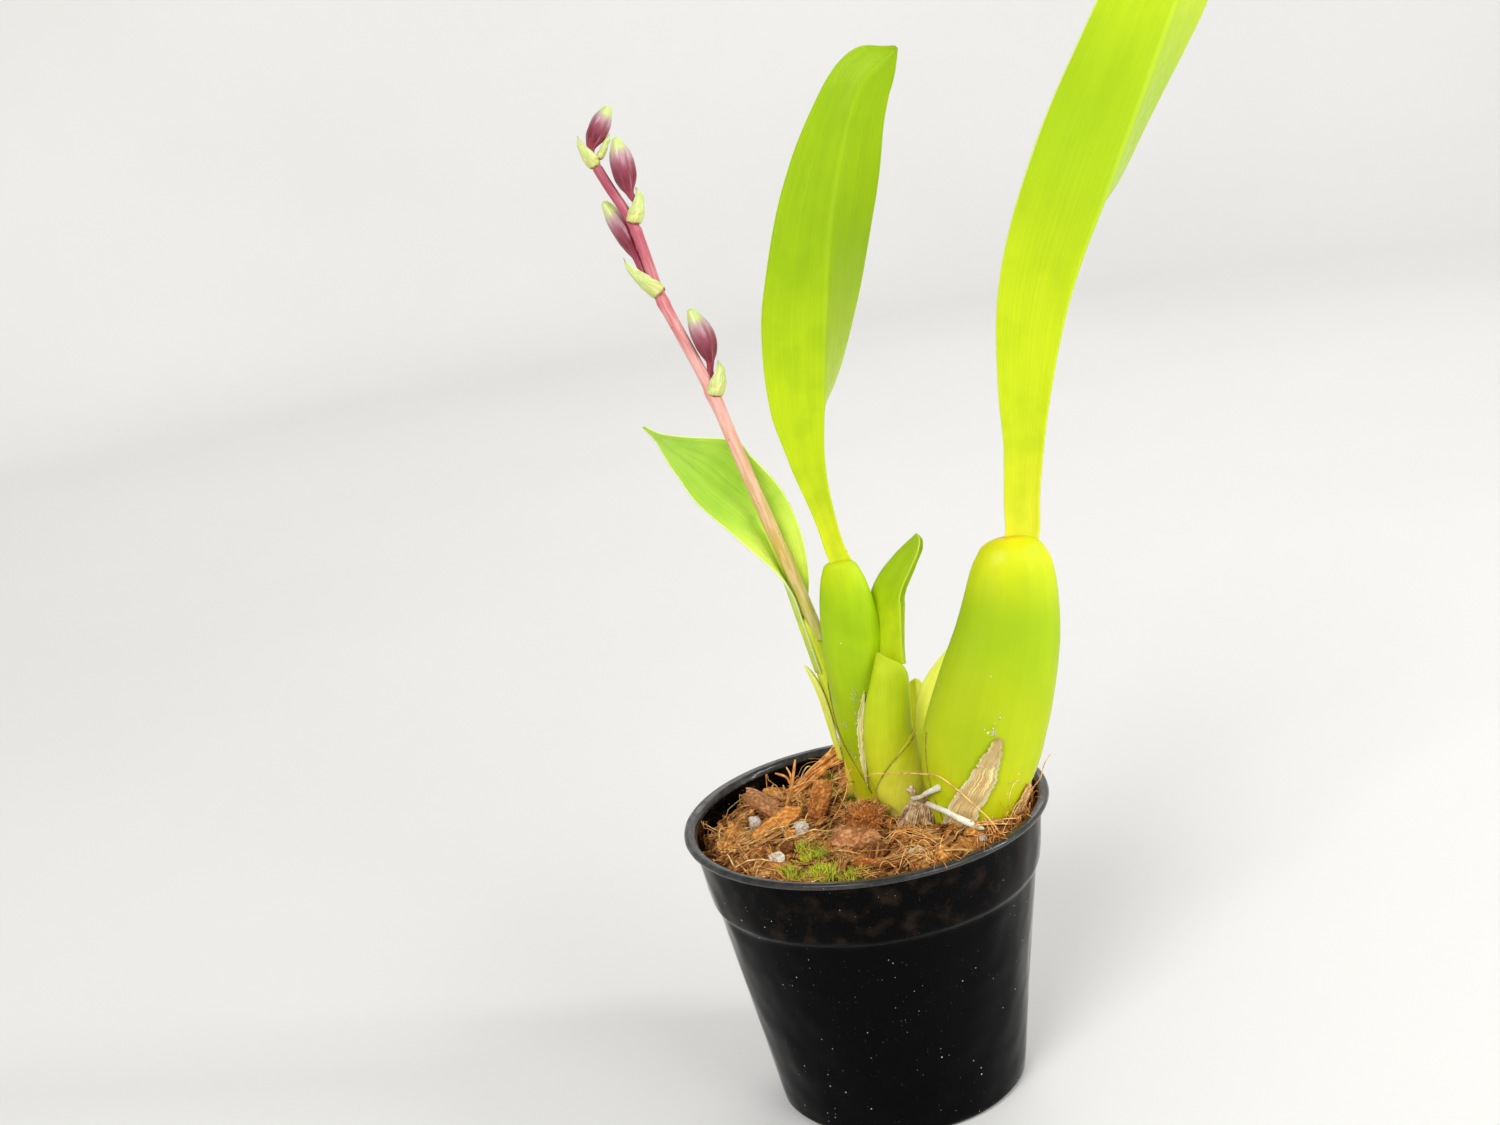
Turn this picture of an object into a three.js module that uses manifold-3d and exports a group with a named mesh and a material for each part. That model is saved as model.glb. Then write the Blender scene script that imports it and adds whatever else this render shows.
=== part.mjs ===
// Potted odontoglossum orchid: pot, mix, three growths with leaves, a new shoot and a flower stem.
// Millimetres, +Z up. The origin is the centre of the pot's base. The plant's open side faces -Y.

import * as THREE from 'three';
import Module from 'manifold-3d';
import { mergeVertices } from 'three/addons/utils/BufferGeometryUtils.js';

const wasm = await Module();
wasm.setup();

// Pot
const POT_HEIGHT = 81.3;
const LIP_RADIUS = 49.4;
const LIP_DEPTH = 1.9;
const BAND_TOP_RADIUS = 47.3;
const BAND_FOOT_RADIUS = 45.5;
const BAND_FOOT_HEIGHT = 66;
const CREASE_HEIGHT = 62;
const BODY_TOP_RADIUS = 43.7;
const BASE_RADIUS = 34;
const WALL = 1.3;
const FLOOR = 2;
const DRAIN_RADIUS = 3.5;
const DRAIN_CIRCLE = 24;
const DRAIN_COUNT = 6;

// Potting mix
const MIX_LEVEL = 76.8;
const MIX_RISE_RIGHT = 0.035;
const MIX_RISE_FRONT = 0.035;
const CLEAR = 0.3;

// Plant
const LEAF_THICK = 1.1;
const LEAF_EDGE = 0.65;
const SHEATH_THICK = 0.65;

const group = new THREE.Group();
group.name = 'potted_orchid';

const NUMBERS = ['one', 'two', 'three', 'four', 'five'];
const v3 = (x, y, z) => new THREE.Vector3(x, y, z);
const radians = THREE.MathUtils.degToRad;

function add(name, geometry, colour, roughness = 0.5, metalness = 0) {
  geometry.computeVertexNormals();
  const material = new THREE.MeshStandardMaterial({ color: colour, roughness, metalness });
  const mesh = new THREE.Mesh(geometry, material);
  mesh.name = name;
  group.add(mesh);
}

// Repeatable random numbers, so the mix is the same every time
function seeded(seed) {
  let state = seed;
  return () => {
    state = (state * 1664525 + 1013904223) % 4294967296;
    return state / 4294967296;
  };
}

// Smooth value along a part, from a few set points [share of length, value]
function along(points) {
  const slope = (i) => {
    const a = points[Math.max(i - 1, 0)];
    const b = points[Math.min(i + 1, points.length - 1)];
    return (b[1] - a[1]) / (b[0] - a[0]);
  };
  return (share) => {
    let i = 0;
    while (i < points.length - 2 && share > points[i + 1][0]) i += 1;
    const width = points[i + 1][0] - points[i][0];
    const t = (share - points[i][0]) / width;
    const level = points[i][1] * (2 * t ** 3 - 3 * t ** 2 + 1) + points[i + 1][1] * (3 * t ** 2 - 2 * t ** 3);
    return level + width * (slope(i) * (t ** 3 - 2 * t ** 2 + t) + slope(i + 1) * (t ** 3 - t ** 2));
  };
}

// Middle line of a part: at a share of its length it gives the place, the direction,
// the way the part faces, and the side, which lies across both
function spine(points, facing) {
  const curve = new THREE.CatmullRomCurve3(points.map((p) => v3(...p)), false, 'centripetal');
  const turn = along(facing);
  return (share) => {
    const place = curve.getPointAt(share);
    const ahead = curve.getTangentAt(share);
    const angle = radians(turn(share));
    const face = v3(Math.cos(angle), Math.sin(angle), 0);
    face.addScaledVector(ahead, -face.dot(ahead)).normalize();
    const side = ahead.clone().cross(face).normalize();
    return { place, ahead, face, side };
  };
}

// Rings of points joined into one closed skin. A fan closes the ends of a solid;
// a strip closes the ends of a thin blade, whose ring runs out on one face and back on the other
function skin(rings, ends) {
  const count = rings[0].length;
  const points = rings.flat();
  const index = [];
  const at = (i, k) => i * count + (k % count);
  for (let i = 0; i < rings.length - 1; i += 1) {
    for (let k = 0; k < count; k += 1) {
      const [a, b, c, d] = [at(i, k), at(i, k + 1), at(i + 1, k + 1), at(i + 1, k)];
      if (ends === 'strip' && k >= count / 2) index.push(a, b, d, b, c, d);
      else index.push(a, b, c, a, c, d);
    }
  }
  for (const [i, last] of [[0, false], [rings.length - 1, true]]) {
    if (ends === 'strip') {
      for (let k = 0; k < count / 2 - 1; k += 1) {
        const [a, b, c, d] = [at(i, k), at(i, k + 1), at(i, count - 2 - k), at(i, count - 1 - k)];
        if (last) index.push(a, b, c, a, c, d);
        else index.push(a, c, b, a, d, c);
      }
    } else {
      const middle = rings[i].reduce((sum, p) => sum.add(p), v3(0, 0, 0)).divideScalar(count);
      points.push(middle);
      for (let k = 0; k < count; k += 1) {
        if (last) index.push(at(i, k), at(i, k + 1), points.length - 1);
        else index.push(at(i, k + 1), at(i, k), points.length - 1);
      }
    }
  }
  let volume = 0;
  for (let i = 0; i < index.length; i += 3) {
    const [a, b, c] = [points[index[i]], points[index[i + 1]], points[index[i + 2]]];
    volume += a.dot(b.clone().cross(c));
  }
  if (volume < 0) index.reverse();
  const geometry = new THREE.BufferGeometry();
  const numbers = points.flatMap((p) => p.toArray());
  geometry.setAttribute('position', new THREE.Float32BufferAttribute(numbers, 3));
  geometry.setIndex(index);
  return geometry;
}

// Shares of the length at which a part is drawn, closer together towards an end that rounds off
function steps(rows, crowd = 1) {
  const list = [];
  for (let i = 0; i <= rows; i += 1) list.push(1 - (1 - i / rows) ** crowd);
  return list;
}

// A solid with an oval section: a pseudobulb, stem, root or bud
function pod({ line, wide, deep, rows, around, crowd = 1, lobes = 0, grow = 0 }) {
  const rings = steps(rows, crowd).map((share) => {
    const { place, ahead, face, side } = line(share);
    const ring = [];
    if (share === 0) place.addScaledVector(ahead, -grow);
    if (share === 1) place.addScaledVector(ahead, grow);
    for (let k = 0; k < around; k += 1) {
      const angle = (2 * Math.PI * k) / around;
      const swell = 1 + lobes * Math.cos(3 * angle + 2 * share);
      const p = place.clone();
      p.addScaledVector(side, Math.cos(angle) * (wide(share) * swell + grow));
      p.addScaledVector(face, Math.sin(angle) * (deep(share) * swell + grow));
      ring.push(p);
    }
    return ring;
  });
  return skin(rings, 'fan');
}

// A folded blade: a leaf or bract. Each half tilts up from the keel by the fold angle,
// and the inner faces meet above the keel, so a tightly folded stalk is thick there
function blade({ line, half, fold, rows, across, crowd = 1, thick = LEAF_THICK, edge = LEAF_EDGE, far }) {
  const rings = steps(rows, crowd).map((share) => {
    const { place, face, side } = line(share);
    const tilt = radians(fold(share));
    const outer = [];
    const inner = [];
    for (let k = -across; k <= across; k += 1) {
      const reach = Math.abs(k) / across;
      const hand = Math.sign(k);
      const width = half(share) * (hand < 0 && far ? far : 1);
      const top = { x: hand * width * reach * Math.cos(tilt), z: width * reach * Math.sin(tilt) };
      const keel = Math.min(thick / Math.cos(tilt), width * 0.8);
      const rim = {
        x: hand * Math.max(width * Math.cos(tilt) - edge * Math.sin(tilt), 0.25),
        z: width * Math.sin(tilt) + edge * Math.cos(tilt),
      };
      const low = { x: rim.x * reach, z: keel + (rim.z - keel) * reach };
      outer.push(place.clone().addScaledVector(side, top.x).addScaledVector(face, top.z));
      inner.push(place.clone().addScaledVector(side, low.x).addScaledVector(face, low.z));
    }
    return [...outer, ...inner.reverse()];
  });
  return skin(rings, 'strip');
}

// A thin wrap on part of the skin of an oval solid: a sheath. It covers the shares of the
// solid's length from start to end, between two angles, where 0 is the side and 90 the face
function wrap({ line, wide, deep, start, end, from, to, rows, across, gap = CLEAR, thick = SHEATH_THICK }) {
  const rings = steps(rows).map((step) => {
    const share = start + (end - start) * step;
    const { place, face, side } = line(share);
    const outer = [];
    const inner = [];
    for (let k = 0; k <= across; k += 1) {
      const angle = radians(from(step) + ((to(step) - from(step)) * k) / across);
      const out = face.clone().multiplyScalar(Math.sin(angle)).addScaledVector(side, Math.cos(angle));
      const p = place.clone().addScaledVector(side, Math.cos(angle) * wide(share));
      p.addScaledVector(face, Math.sin(angle) * deep(share));
      inner.push(p.clone().addScaledVector(out, gap));
      outer.push(p.addScaledVector(out, gap + thick));
    }
    return [...outer, ...inner.reverse()];
  });
  return skin(rings, 'strip');
}

// A rough lump: bark, husk, coir or perlite
function lump({ at, size, turn = [0, 0, 0], rough = 0.16, seed = 1, grow = 0 }) {
  const ball = new THREE.IcosahedronGeometry(1, 1);
  ball.deleteAttribute('normal');
  ball.deleteAttribute('uv');
  const geometry = mergeVertices(ball, 1e-4);
  const random = seeded(seed);
  const position = geometry.getAttribute('position');
  const rotation = new THREE.Euler(...turn.map(radians));
  for (let i = 0; i < position.count; i += 1) {
    const p = v3().fromBufferAttribute(position, i);
    const reach = 1 + rough * (2 * random() - 1);
    p.set(Math.cbrt(p.x) * 0.4 + p.x * 0.6, Math.cbrt(p.y) * 0.4 + p.y * 0.6, p.z);
    p.multiplyScalar(reach);
    p.set(p.x * (size[0] / 2 + grow), p.y * (size[1] / 2 + grow), p.z * (size[2] / 2 + grow));
    p.applyEuler(rotation).add(v3(...at));
    position.setXYZ(i, p.x, p.y, p.z);
  }
  return geometry;
}

function solid(geometry) {
  const plain = geometry.clone();
  plain.deleteAttribute('normal');
  plain.deleteAttribute('uv');
  const merged = mergeVertices(plain, 1e-4);
  return new wasm.Manifold(new wasm.Mesh({
    numProp: 3,
    vertProperties: new Float32Array(merged.getAttribute('position').array),
    triVerts: new Uint32Array(merged.getIndex().array),
  }));
}

function surface(body) {
  const mesh = body.getMesh();
  const geometry = new THREE.BufferGeometry();
  geometry.setAttribute('position', new THREE.Float32BufferAttribute(Array.from(mesh.vertProperties), 3));
  geometry.setIndex(Array.from(mesh.triVerts));
  return geometry;
}

// Pot

function makePot() {
  const inside = POT_HEIGHT - LIP_DEPTH;
  const profile = [
    [0, 0],
    [BASE_RADIUS - 1.5, 0],
    [BASE_RADIUS, 1.2],
    [BODY_TOP_RADIUS, CREASE_HEIGHT - 1],
    [BODY_TOP_RADIUS + 0.7, CREASE_HEIGHT],
    [BAND_FOOT_RADIUS, BAND_FOOT_HEIGHT],
    [BAND_TOP_RADIUS, inside],
    [LIP_RADIUS - 0.4, inside + 0.2],
    [LIP_RADIUS, inside + 0.8],
    [LIP_RADIUS - 0.5, POT_HEIGHT],
    [BAND_TOP_RADIUS, POT_HEIGHT],
    [BAND_TOP_RADIUS - WALL, inside],
    [BAND_FOOT_RADIUS - WALL, BAND_FOOT_HEIGHT],
    [BODY_TOP_RADIUS - WALL, CREASE_HEIGHT],
    [BASE_RADIUS - WALL + 0.2, FLOOR],
    [0, FLOOR],
  ];
  const turned = new THREE.LatheGeometry(profile.map((p) => new THREE.Vector2(...p)), 56);
  turned.rotateX(Math.PI / 2);
  let body = solid(turned);
  for (let i = 0; i < DRAIN_COUNT; i += 1) {
    const angle = (2 * Math.PI * (i + 0.5)) / DRAIN_COUNT;
    const drain = new THREE.CylinderGeometry(DRAIN_RADIUS, DRAIN_RADIUS, 3 * FLOOR, 20);
    drain.rotateX(Math.PI / 2);
    drain.translate(DRAIN_CIRCLE * Math.cos(angle), DRAIN_CIRCLE * Math.sin(angle), FLOOR / 2);
    body = body.subtract(solid(drain));
  }
  return surface(body);
}

// Pseudobulbs: each is an oval solid whose face looks towards -Y

const bulbTall = {
  line: spine([
    [27, -14.5, 70], [28.3, -14, 82], [32.4, -13.2, 97], [37.7, -12.5, 112.7],
    [42.7, -11.9, 128], [46.6, -11.2, 143.5], [48.3, -11, 150],
  ], [[0, -90], [1, -90]]),
  wide: along([
    [0, 7.4], [0.14, 11.6], [0.3, 15], [0.45, 15.4], [0.65, 14.1], [0.83, 12.3], [0.94, 10.1], [1, 5.8],
  ]),
  deep: along([[0, 6], [0.2, 8.4], [0.4, 9], [0.7, 7.8], [0.93, 5], [1, 2.4]]),
  rows: 15,
  around: 20,
  crowd: 1.25,
};

const bulbMiddle = {
  line: spine([
    [2, 11.5, 70], [2, 11.5, 82.5], [2, 11, 96], [2.6, 10.4, 113], [3.1, 9.9, 129], [2.8, 9.3, 147],
  ], [[0, -100], [0.5, -108], [1, -100]]),
  wide: along([
    [0, 3.2], [0.16, 4.4], [0.29, 6], [0.5, 7.5], [0.7, 8.1], [0.82, 7.6], [0.93, 5.8], [1, 3.3],
  ]),
  deep: along([[0, 2.4], [0.3, 3.8], [0.6, 4.8], [0.85, 4.2], [1, 1.9]]),
  rows: 14,
  around: 18,
  crowd: 1.2,
};

// The young one's line up to where its sheath outgrows it
const youngLine = [[8.9, -1.5, 70], [8.6, -1, 82], [8.8, 0.5, 92.5], [9.8, 1.7, 104], [11.3, 3.3, 113.5]];

const bulbYoung = {
  line: spine([...youngLine, [12.4, 4.4, 117.6]], [[0, -90], [1, -90]]),
  wide: along([[0, 4.2], [0.2, 6.2], [0.4, 6.6], [0.6, 5.8], [0.8, 4.8], [1, 3.2]]),
  deep: along([[0, 3], [0.3, 3.8], [0.7, 3.2], [1, 1.8]]),
  rows: 10,
  around: 16,
};

const shoot = {
  line: spine([
    [-1.8, 17, 71], [-2, 16.8, 84], [-2.3, 16.9, 93], [-4.4, 17, 106], [-6.6, 17, 121], [-8.9, 16.9, 130.4],
  ], [[0, -90], [1, -90]]),
  wide: along([[0, 2.2], [0.35, 1.8], [0.6, 2], [0.85, 2.2], [1, 2.7]]),
  deep: along([[0, 2], [0.35, 1.8], [0.6, 1.8], [1, 2.4]]),
  rows: 12,
  around: 12,
};

const stub = {
  line: spine([[12, -9, 72], [12.8, -9.6, 79], [14.6, -11, 85.5]], [[0, -90], [1, -90]]),
  wide: along([[0, 2.3], [0.5, 2.6], [1, 2]]),
  deep: along([[0, 2.3], [0.5, 2.6], [1, 1.8]]),
  rows: 4,
  around: 10,
};

// Leafy sheaths behind the large pseudobulb

const sheathBackOne = {
  line: spine([[19, 8.5, 72], [20.5, 9, 90], [23, 9.5, 106], [29.6, 10, 118.4]], [[0, -90], [1, -80]]),
  half: along([[0, 2.8], [0.3, 4.8], [0.6, 5.2], [0.8, 4], [0.95, 1.8], [1, 1.1]]),
  fold: along([[0, 8], [1, 14]]),
  rows: 9,
  across: 2,
  thick: SHEATH_THICK,
};

const sheathBackTwo = {
  line: spine([[17.6, 13.5, 73], [17.8, 13.5, 95], [18.6, 13, 110]], [[0, -90], [1, -90]]),
  half: along([[0, 2], [0.5, 2.8], [0.88, 2.6], [1, 1.1]]),
  fold: along([[0, 10], [1, 16]]),
  rows: 7,
  across: 2,
  thick: SHEATH_THICK,
};

// Roots that show above the mix

const roots = [
  {
    line: spine([[13.9, -13.4, 85.6], [15.6, -18.4, 88.2], [19.7, -21.9, 90.4]], [[0, 0], [1, 0]]),
    wide: along([[0, 1.1], [1, 0.9]]),
  },
  {
    line: spine([[14.6, -14.6, 83.2], [17.4, -19.6, 85], [23, -24, 83.2], [29, -26, 80]], [[0, 0], [1, 0]]),
    wide: along([[0, 0.9], [1, 0.7]]),
  },
  {
    line: spine([[14, -13.4, 80.4], [16, -16.6, 79.8], [18.6, -19.6, 77.8]], [[0, 0], [1, 0]]),
    wide: along([[0, 0.9], [1, 0.7]]),
  },
];

// Flat bundle of coir fibre at the back

const strap = {
  line: spine([[-22.4, 24.6, 75.2], [-13, 29.5, 81], [-4, 33, 84.6]], [[0, -60], [1, -60]]),
  wide: along([[0, 1.6], [1, 1.1]]),
  deep: along([[0, 0.7], [1, 0.6]]),
  rows: 6,
  around: 8,
};

// Loose pieces that lie in the mix: [name, centre, size, turn in degrees, roughness of shape, colour]

const pieces = [
  ['coir_chunk', [-1.2, -10.4, 80.4], [9.6, 7.4, 8], [10, 20, 0], 0.14, 0x8f4a22],
  ['bark_flat', [-3.4, -19.4, 78.2], [11.5, 7.5, 5], [-14, 6, -4], 0.14, 0xa05f3f],
  ['bark_strip', [-26.4, 17.4, 77.2], [20, 6.5, 3.6], [10, 6, -50], 0.12, 0xa46a3c],
  ['husk_upright', [-12.6, 3.5, 81.5], [5, 3.4, 15], [0, 20, 12], 0.12, 0xb5622b],
  ['wood_chip', [-24.6, 0.6, 77.9], [16.5, 6, 2], [24, 0, 40], 0.08, 0xc46a22],
  ['perlite_one', [-30.4, 7.4, 77.2], [4.2, 3.8, 3.6], [0, 0, 30], 0.2, 0xe6ded2],
  ['perlite_two', [-17.6, -3.6, 78.4], [4, 4.4, 3.6], [20, 0, 0], 0.2, 0xe6ded2],
  ['perlite_three', [-25, -20.6, 77.8], [5.2, 4.4, 3.8], [0, 15, 60], 0.2, 0xe6ded2],
  ['perlite_four', [11.2, -32.6, 79.2], [4.4, 4, 3.6], [0, 10, 15], 0.2, 0xe6ded2],
];

// Mix: a bumpy bed that fills the pot, with seeded small chunks on it and plain holes
// for everything that stands in it

function makeMix() {
  const around = 38;
  const random = seeded(11);
  const level = (x, y) => MIX_LEVEL + MIX_RISE_RIGHT * x - MIX_RISE_FRONT * y;
  const ring = (radius, height, bumps) => {
    const points = [];
    for (let k = 0; k < around; k += 1) {
      const angle = (2 * Math.PI * k) / around;
      const [x, y] = [radius * Math.cos(angle), radius * Math.sin(angle)];
      const z = height === undefined ? level(x, y) + bumps * (2 * random() - 1) : height;
      points.push(v3(x, y, z));
    }
    return points;
  };
  const wallAt = (z) => THREE.MathUtils.mapLinear(
    z, BAND_FOOT_HEIGHT, POT_HEIGHT - LIP_DEPTH, BAND_FOOT_RADIUS, BAND_TOP_RADIUS,
  ) - WALL - CLEAR;
  const rings = [
    ring(BASE_RADIUS - WALL - CLEAR, FLOOR + CLEAR),
    ring(BODY_TOP_RADIUS - WALL - CLEAR - 0.3, CREASE_HEIGHT),
    ring(wallAt(BAND_FOOT_HEIGHT) - 0.3, BAND_FOOT_HEIGHT),
    ring(wallAt(72) - 0.1, undefined, 0.4),
    ...[39, 32, 25, 17, 9].map((radius) => ring(radius, undefined, 1)),
  ];
  let bed = solid(skin(rings, 'fan'));
  for (let i = 0; i < 18; i += 1) {
    const radius = 12 + 26 * Math.sqrt(random());
    const angle = 2 * Math.PI * random();
    const [x, y] = [radius * Math.cos(angle), radius * Math.sin(angle)];
    const size = [5 + 5 * random(), 3 + 3 * random(), 2.4 + 1.6 * random()];
    const turn = [30 * random() - 15, 30 * random() - 15, 360 * random()];
    bed = bed.add(solid(lump({ at: [x, y, level(x, y) + 0.4], size, turn, seed: 40 + i })));
  }
  for (const part of [bulbTall, bulbMiddle, bulbYoung, shoot, stub, strap]) {
    bed = bed.subtract(solid(pod({ ...part, grow: part === bulbYoung ? 2.4 : CLEAR + 0.1 })));
  }
  for (const part of [sheathBackOne, sheathBackTwo]) {
    const wide = (share) => part.half(share) + 0.8;
    const slot = { line: part.line, wide, deep: () => 1.6, rows: 6, around: 12, grow: 0.6 };
    bed = bed.subtract(solid(pod(slot)));
  }
  for (const root of roots) {
    bed = bed.subtract(solid(pod({ ...root, deep: root.wide, rows: 6, around: 8, grow: CLEAR + 0.1 })));
  }
  pieces.forEach(([, at, size, turn, rough], i) => {
    bed = bed.subtract(solid(lump({ at, size, turn, rough, seed: i + 1, grow: CLEAR + 0.15 })));
  });
  return surface(bed);
}

add('pot', makePot(), 0x14171a, 0.18);
add('potting_mix', makeMix(), 0x8a4c27, 0.95);
add('bulb_tall', pod(bulbTall), 0xc4d410, 0.38);
add('bulb_middle', pod(bulbMiddle), 0xaad212, 0.38);
add('bulb_young', pod(bulbYoung), 0xb9d620, 0.42);
add('shoot_stem', pod(shoot), 0xb7cb52, 0.45);
add('old_stub', pod(stub), 0x86705c, 0.95);
add('sheath_back_one', blade(sheathBackOne), 0xd9ee2b, 0.4);
add('sheath_back_two', blade(sheathBackTwo), 0xdcee5a, 0.4);
roots.forEach((root, i) => {
  add(`root_${NUMBERS[i]}`, pod({ ...root, deep: root.wide, rows: 6, around: 8 }), 0xeee6c4, 0.6);
});
pieces.forEach(([name, at, size, turn, rough, colour], i) => {
  add(name, lump({ at, size, turn, rough, seed: i + 1 }), colour, 0.95);
});

// Leaves of the three growths

add('leaf_tall', blade({
  line: spine([
    [53.2, -11.1, 149.2], [54.3, -10.9, 153.8], [55.4, -10.7, 162], [60, -10, 185.7], [68.2, -9.2, 210],
    [78.3, -8.5, 232.6], [91, -7.7, 255], [101.4, -7, 277], [116, -5.5, 303], [136, -4, 326],
  ], [[0, 172], [0.12, 168], [0.25, 158], [0.45, 136], [0.7, 129], [1, 124]]),
  half: along([
    [0, 9], [0.12, 9.5], [0.19, 11.4], [0.31, 17.2], [0.45, 21], [0.6, 21.2], [0.75, 19.2],
    [0.88, 14], [0.96, 7.6], [1, 1.2],
  ]),
  fold: along([[0, 79], [0.12, 77], [0.25, 66], [0.35, 50], [0.45, 38], [0.55, 30], [0.7, 22], [1, 16]]),
  rows: 26,
  across: 3,
  crowd: 1.25,
}), 0xbade12, 0.36);

add('leaf_middle', blade({
  line: spine([
    [5.7, 9.2, 148.2], [5.2, 9.2, 151], [4.3, 9.3, 156], [3.1, 9.3, 172.6], [4.6, 9.3, 191.5],
    [9.5, 9.3, 216.4], [14.4, 9.3, 241], [20.9, 9.3, 260.2], [32.6, 9.3, 275.4],
  ], [[0, 172], [0.12, 165], [0.22, 150], [0.33, 126], [0.5, 112], [0.75, 95], [1, 84]]),
  half: along([
    [0, 6], [0.06, 5.8], [0.13, 6.6], [0.21, 9.5], [0.29, 12.4], [0.45, 16.4], [0.55, 16.6],
    [0.75, 13.4], [0.86, 10.9], [0.94, 9], [0.98, 6], [1, 1.2],
  ]),
  fold: along([[0, 77], [0.13, 75], [0.22, 64], [0.33, 44], [0.5, 33], [0.75, 26], [1, 18]]),
  far: 0.92,
  rows: 24,
  across: 3,
  crowd: 1.3,
}), 0x9ed416, 0.36);

add('leaf_young', blade({
  line: spine([
    [11.3, 5.2, 118.3], [11.5, 8.6, 123.5], [10.5, 11.8, 128.5], [9.8, 13.2, 134.5], [11.6, 13.3, 140],
    [16.4, 13, 144.8], [24.7, 12.2, 149.8],
  ], [[0, -6], [1, -14]]),
  half: along([[0, 5], [0.16, 6.3], [0.42, 10], [0.56, 9.6], [0.72, 7], [0.9, 3.8], [1, 1.5]]),
  fold: along([[0, 66], [0.5, 64], [1, 52]]),
  rows: 10,
  across: 2,
  crowd: 1.2,
}), 0xaedb1c, 0.38);

add('leaf_low', blade({
  line: spine([
    [-11.2, 17, 131.4], [-13.2, 17, 145], [-18.5, 16.5, 159.5], [-25.6, 16, 170.4],
    [-34.6, 15, 181.8], [-43, 14, 188.2],
  ], [[0, -20], [0.2, -50], [0.42, -72], [0.7, -78], [1, -80]]),
  half: along([
    [0, 4.2], [0.15, 6.2], [0.3, 9.8], [0.45, 12.4], [0.6, 12.3], [0.74, 9],
    [0.86, 4.6], [0.94, 2.4], [1, 1.2],
  ]),
  fold: along([[0, 50], [0.25, 46], [0.5, 38], [1, 30]]),
  rows: 18,
  across: 3,
  far: 0.9,
  thick: 0.8,
}), 0x8fd040, 0.4);

// Sheaths

add('sheath_young_front', wrap({
  ...bulbYoung,
  line: spine([...youngLine, [13.2, 4.6, 121.5]], [[0, -90], [1, -90]]),
  start: 0.17, end: 1,
  from: along([[0, -8], [0.7, 0], [1, 40]]),
  to: along([[0, 190], [0.8, 186], [1, 176]]),
  rows: 9, across: 10, gap: CLEAR + 0.2,
}), 0xc3de2c, 0.42);

add('sheath_young_low', wrap({
  ...bulbYoung, start: 0.19, end: 0.6,
  from: along([[0, -12], [1, 4]]),
  to: along([[0, 132], [0.5, 82], [1, 16]]),
  rows: 6, across: 5, gap: SHEATH_THICK + 2 * CLEAR + 0.35,
}), 0xb6d63a, 0.45);

add('dry_sheath_tall', wrap({
  ...bulbTall, start: 0.13, end: 0.4,
  from: along([[0, 92], [0.5, 82], [1, 84]]),
  to: along([[0, 128], [0.5, 103], [1, 90]]),
  rows: 7, across: 4,
}), 0xb98a4e, 0.8);

add('dry_sheath_middle', wrap({
  ...bulbMiddle, start: 0.22, end: 0.53,
  from: along([[0, 84], [1, 62]]),
  to: along([[0, 104], [1, 72]]),
  rows: 6, across: 2,
}), 0xcdbf74, 0.7);

add('bract_low', blade({
  line: spine([
    [-5.3, 16.5, 88.5], [-6.8, 16.5, 98], [-8.4, 16.4, 108], [-10.9, 16.1, 117.4],
  ], [[0, 0], [1, 0]]),
  half: along([[0, 1.2], [0.4, 1.6], [0.8, 1.5], [1, 0.9]]),
  fold: along([[0, 40], [1, 35]]),
  rows: 7, across: 1, thick: 0.65,
}), 0xcbe04e, 0.42);

// Flower stem, bracts and buds. The stem swells a little at the node halfway up

const stemRadius = along([
  [0, 1.75], [0.46, 1.6], [0.5, 1.9], [0.55, 1.45], [0.71, 1.5], [0.85, 1.5], [0.9, 1.25], [1, 1.25],
]);

add('flower_stem', pod({
  line: spine([
    [-7.2, 15.4, 131.9], [-9.9, 13.2, 144.4], [-13.7, 10.4, 160.4], [-18.6, 7.6, 180.6], [-24.2, 8, 196.6],
    [-30.4, 8, 218.3], [-32.7, 8, 224], [-34.9, 7.8, 242.6], [-40.6, 7.6, 253.6], [-43.3, 7.5, 258.9],
  ], [[0, -90], [1, -90]]),
  wide: stemRadius,
  deep: stemRadius,
  rows: 28,
  around: 8,
}), 0xcf8a70, 0.5);

// Bracts: [middle line, facing in degrees, half width]
const bracts = [
  [[[-20.6, 8.2, 196], [-19.4, 8.1, 199], [-19.7, 8.2, 202], [-20.6, 8.4, 204.8]], 180, 2.6],
  [[[-35.6, 8.1, 223.6], [-37.9, 8, 227.6], [-39.6, 7.9, 231], [-40.4, 7.9, 234]], 0, 2.5],
  [[[-32.3, 7.8, 242.9], [-31.8, 7.7, 245.6], [-32.1, 7.8, 248.4], [-33.1, 7.9, 250.8]], 180, 2.3],
  [[[-45.8, 7.6, 258.8], [-46.8, 7.6, 261.5], [-47, 7.6, 264], [-46.6, 7.6, 266.2]], 0, 2.3],
  [[[-41.1, 7.5, 259.4], [-39.8, 7.5, 261.3], [-38.4, 7.5, 263.5]], 180, 1],
];
bracts.forEach(([points, facing, width], i) => {
  add(`bract_${NUMBERS[i]}`, blade({
    line: spine(points, [[0, facing], [1, facing]]),
    half: along([[0, 1], [0.3, 0.95 * width], [0.6, width], [0.9, 0.5 * width + 0.3], [1, 0.9]]),
    fold: along([[0, 46], [1, 42]]),
    rows: 7, across: 2, thick: 0.62, edge: 0.6,
  }), 0xd3e58c, 0.5);
});

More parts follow.
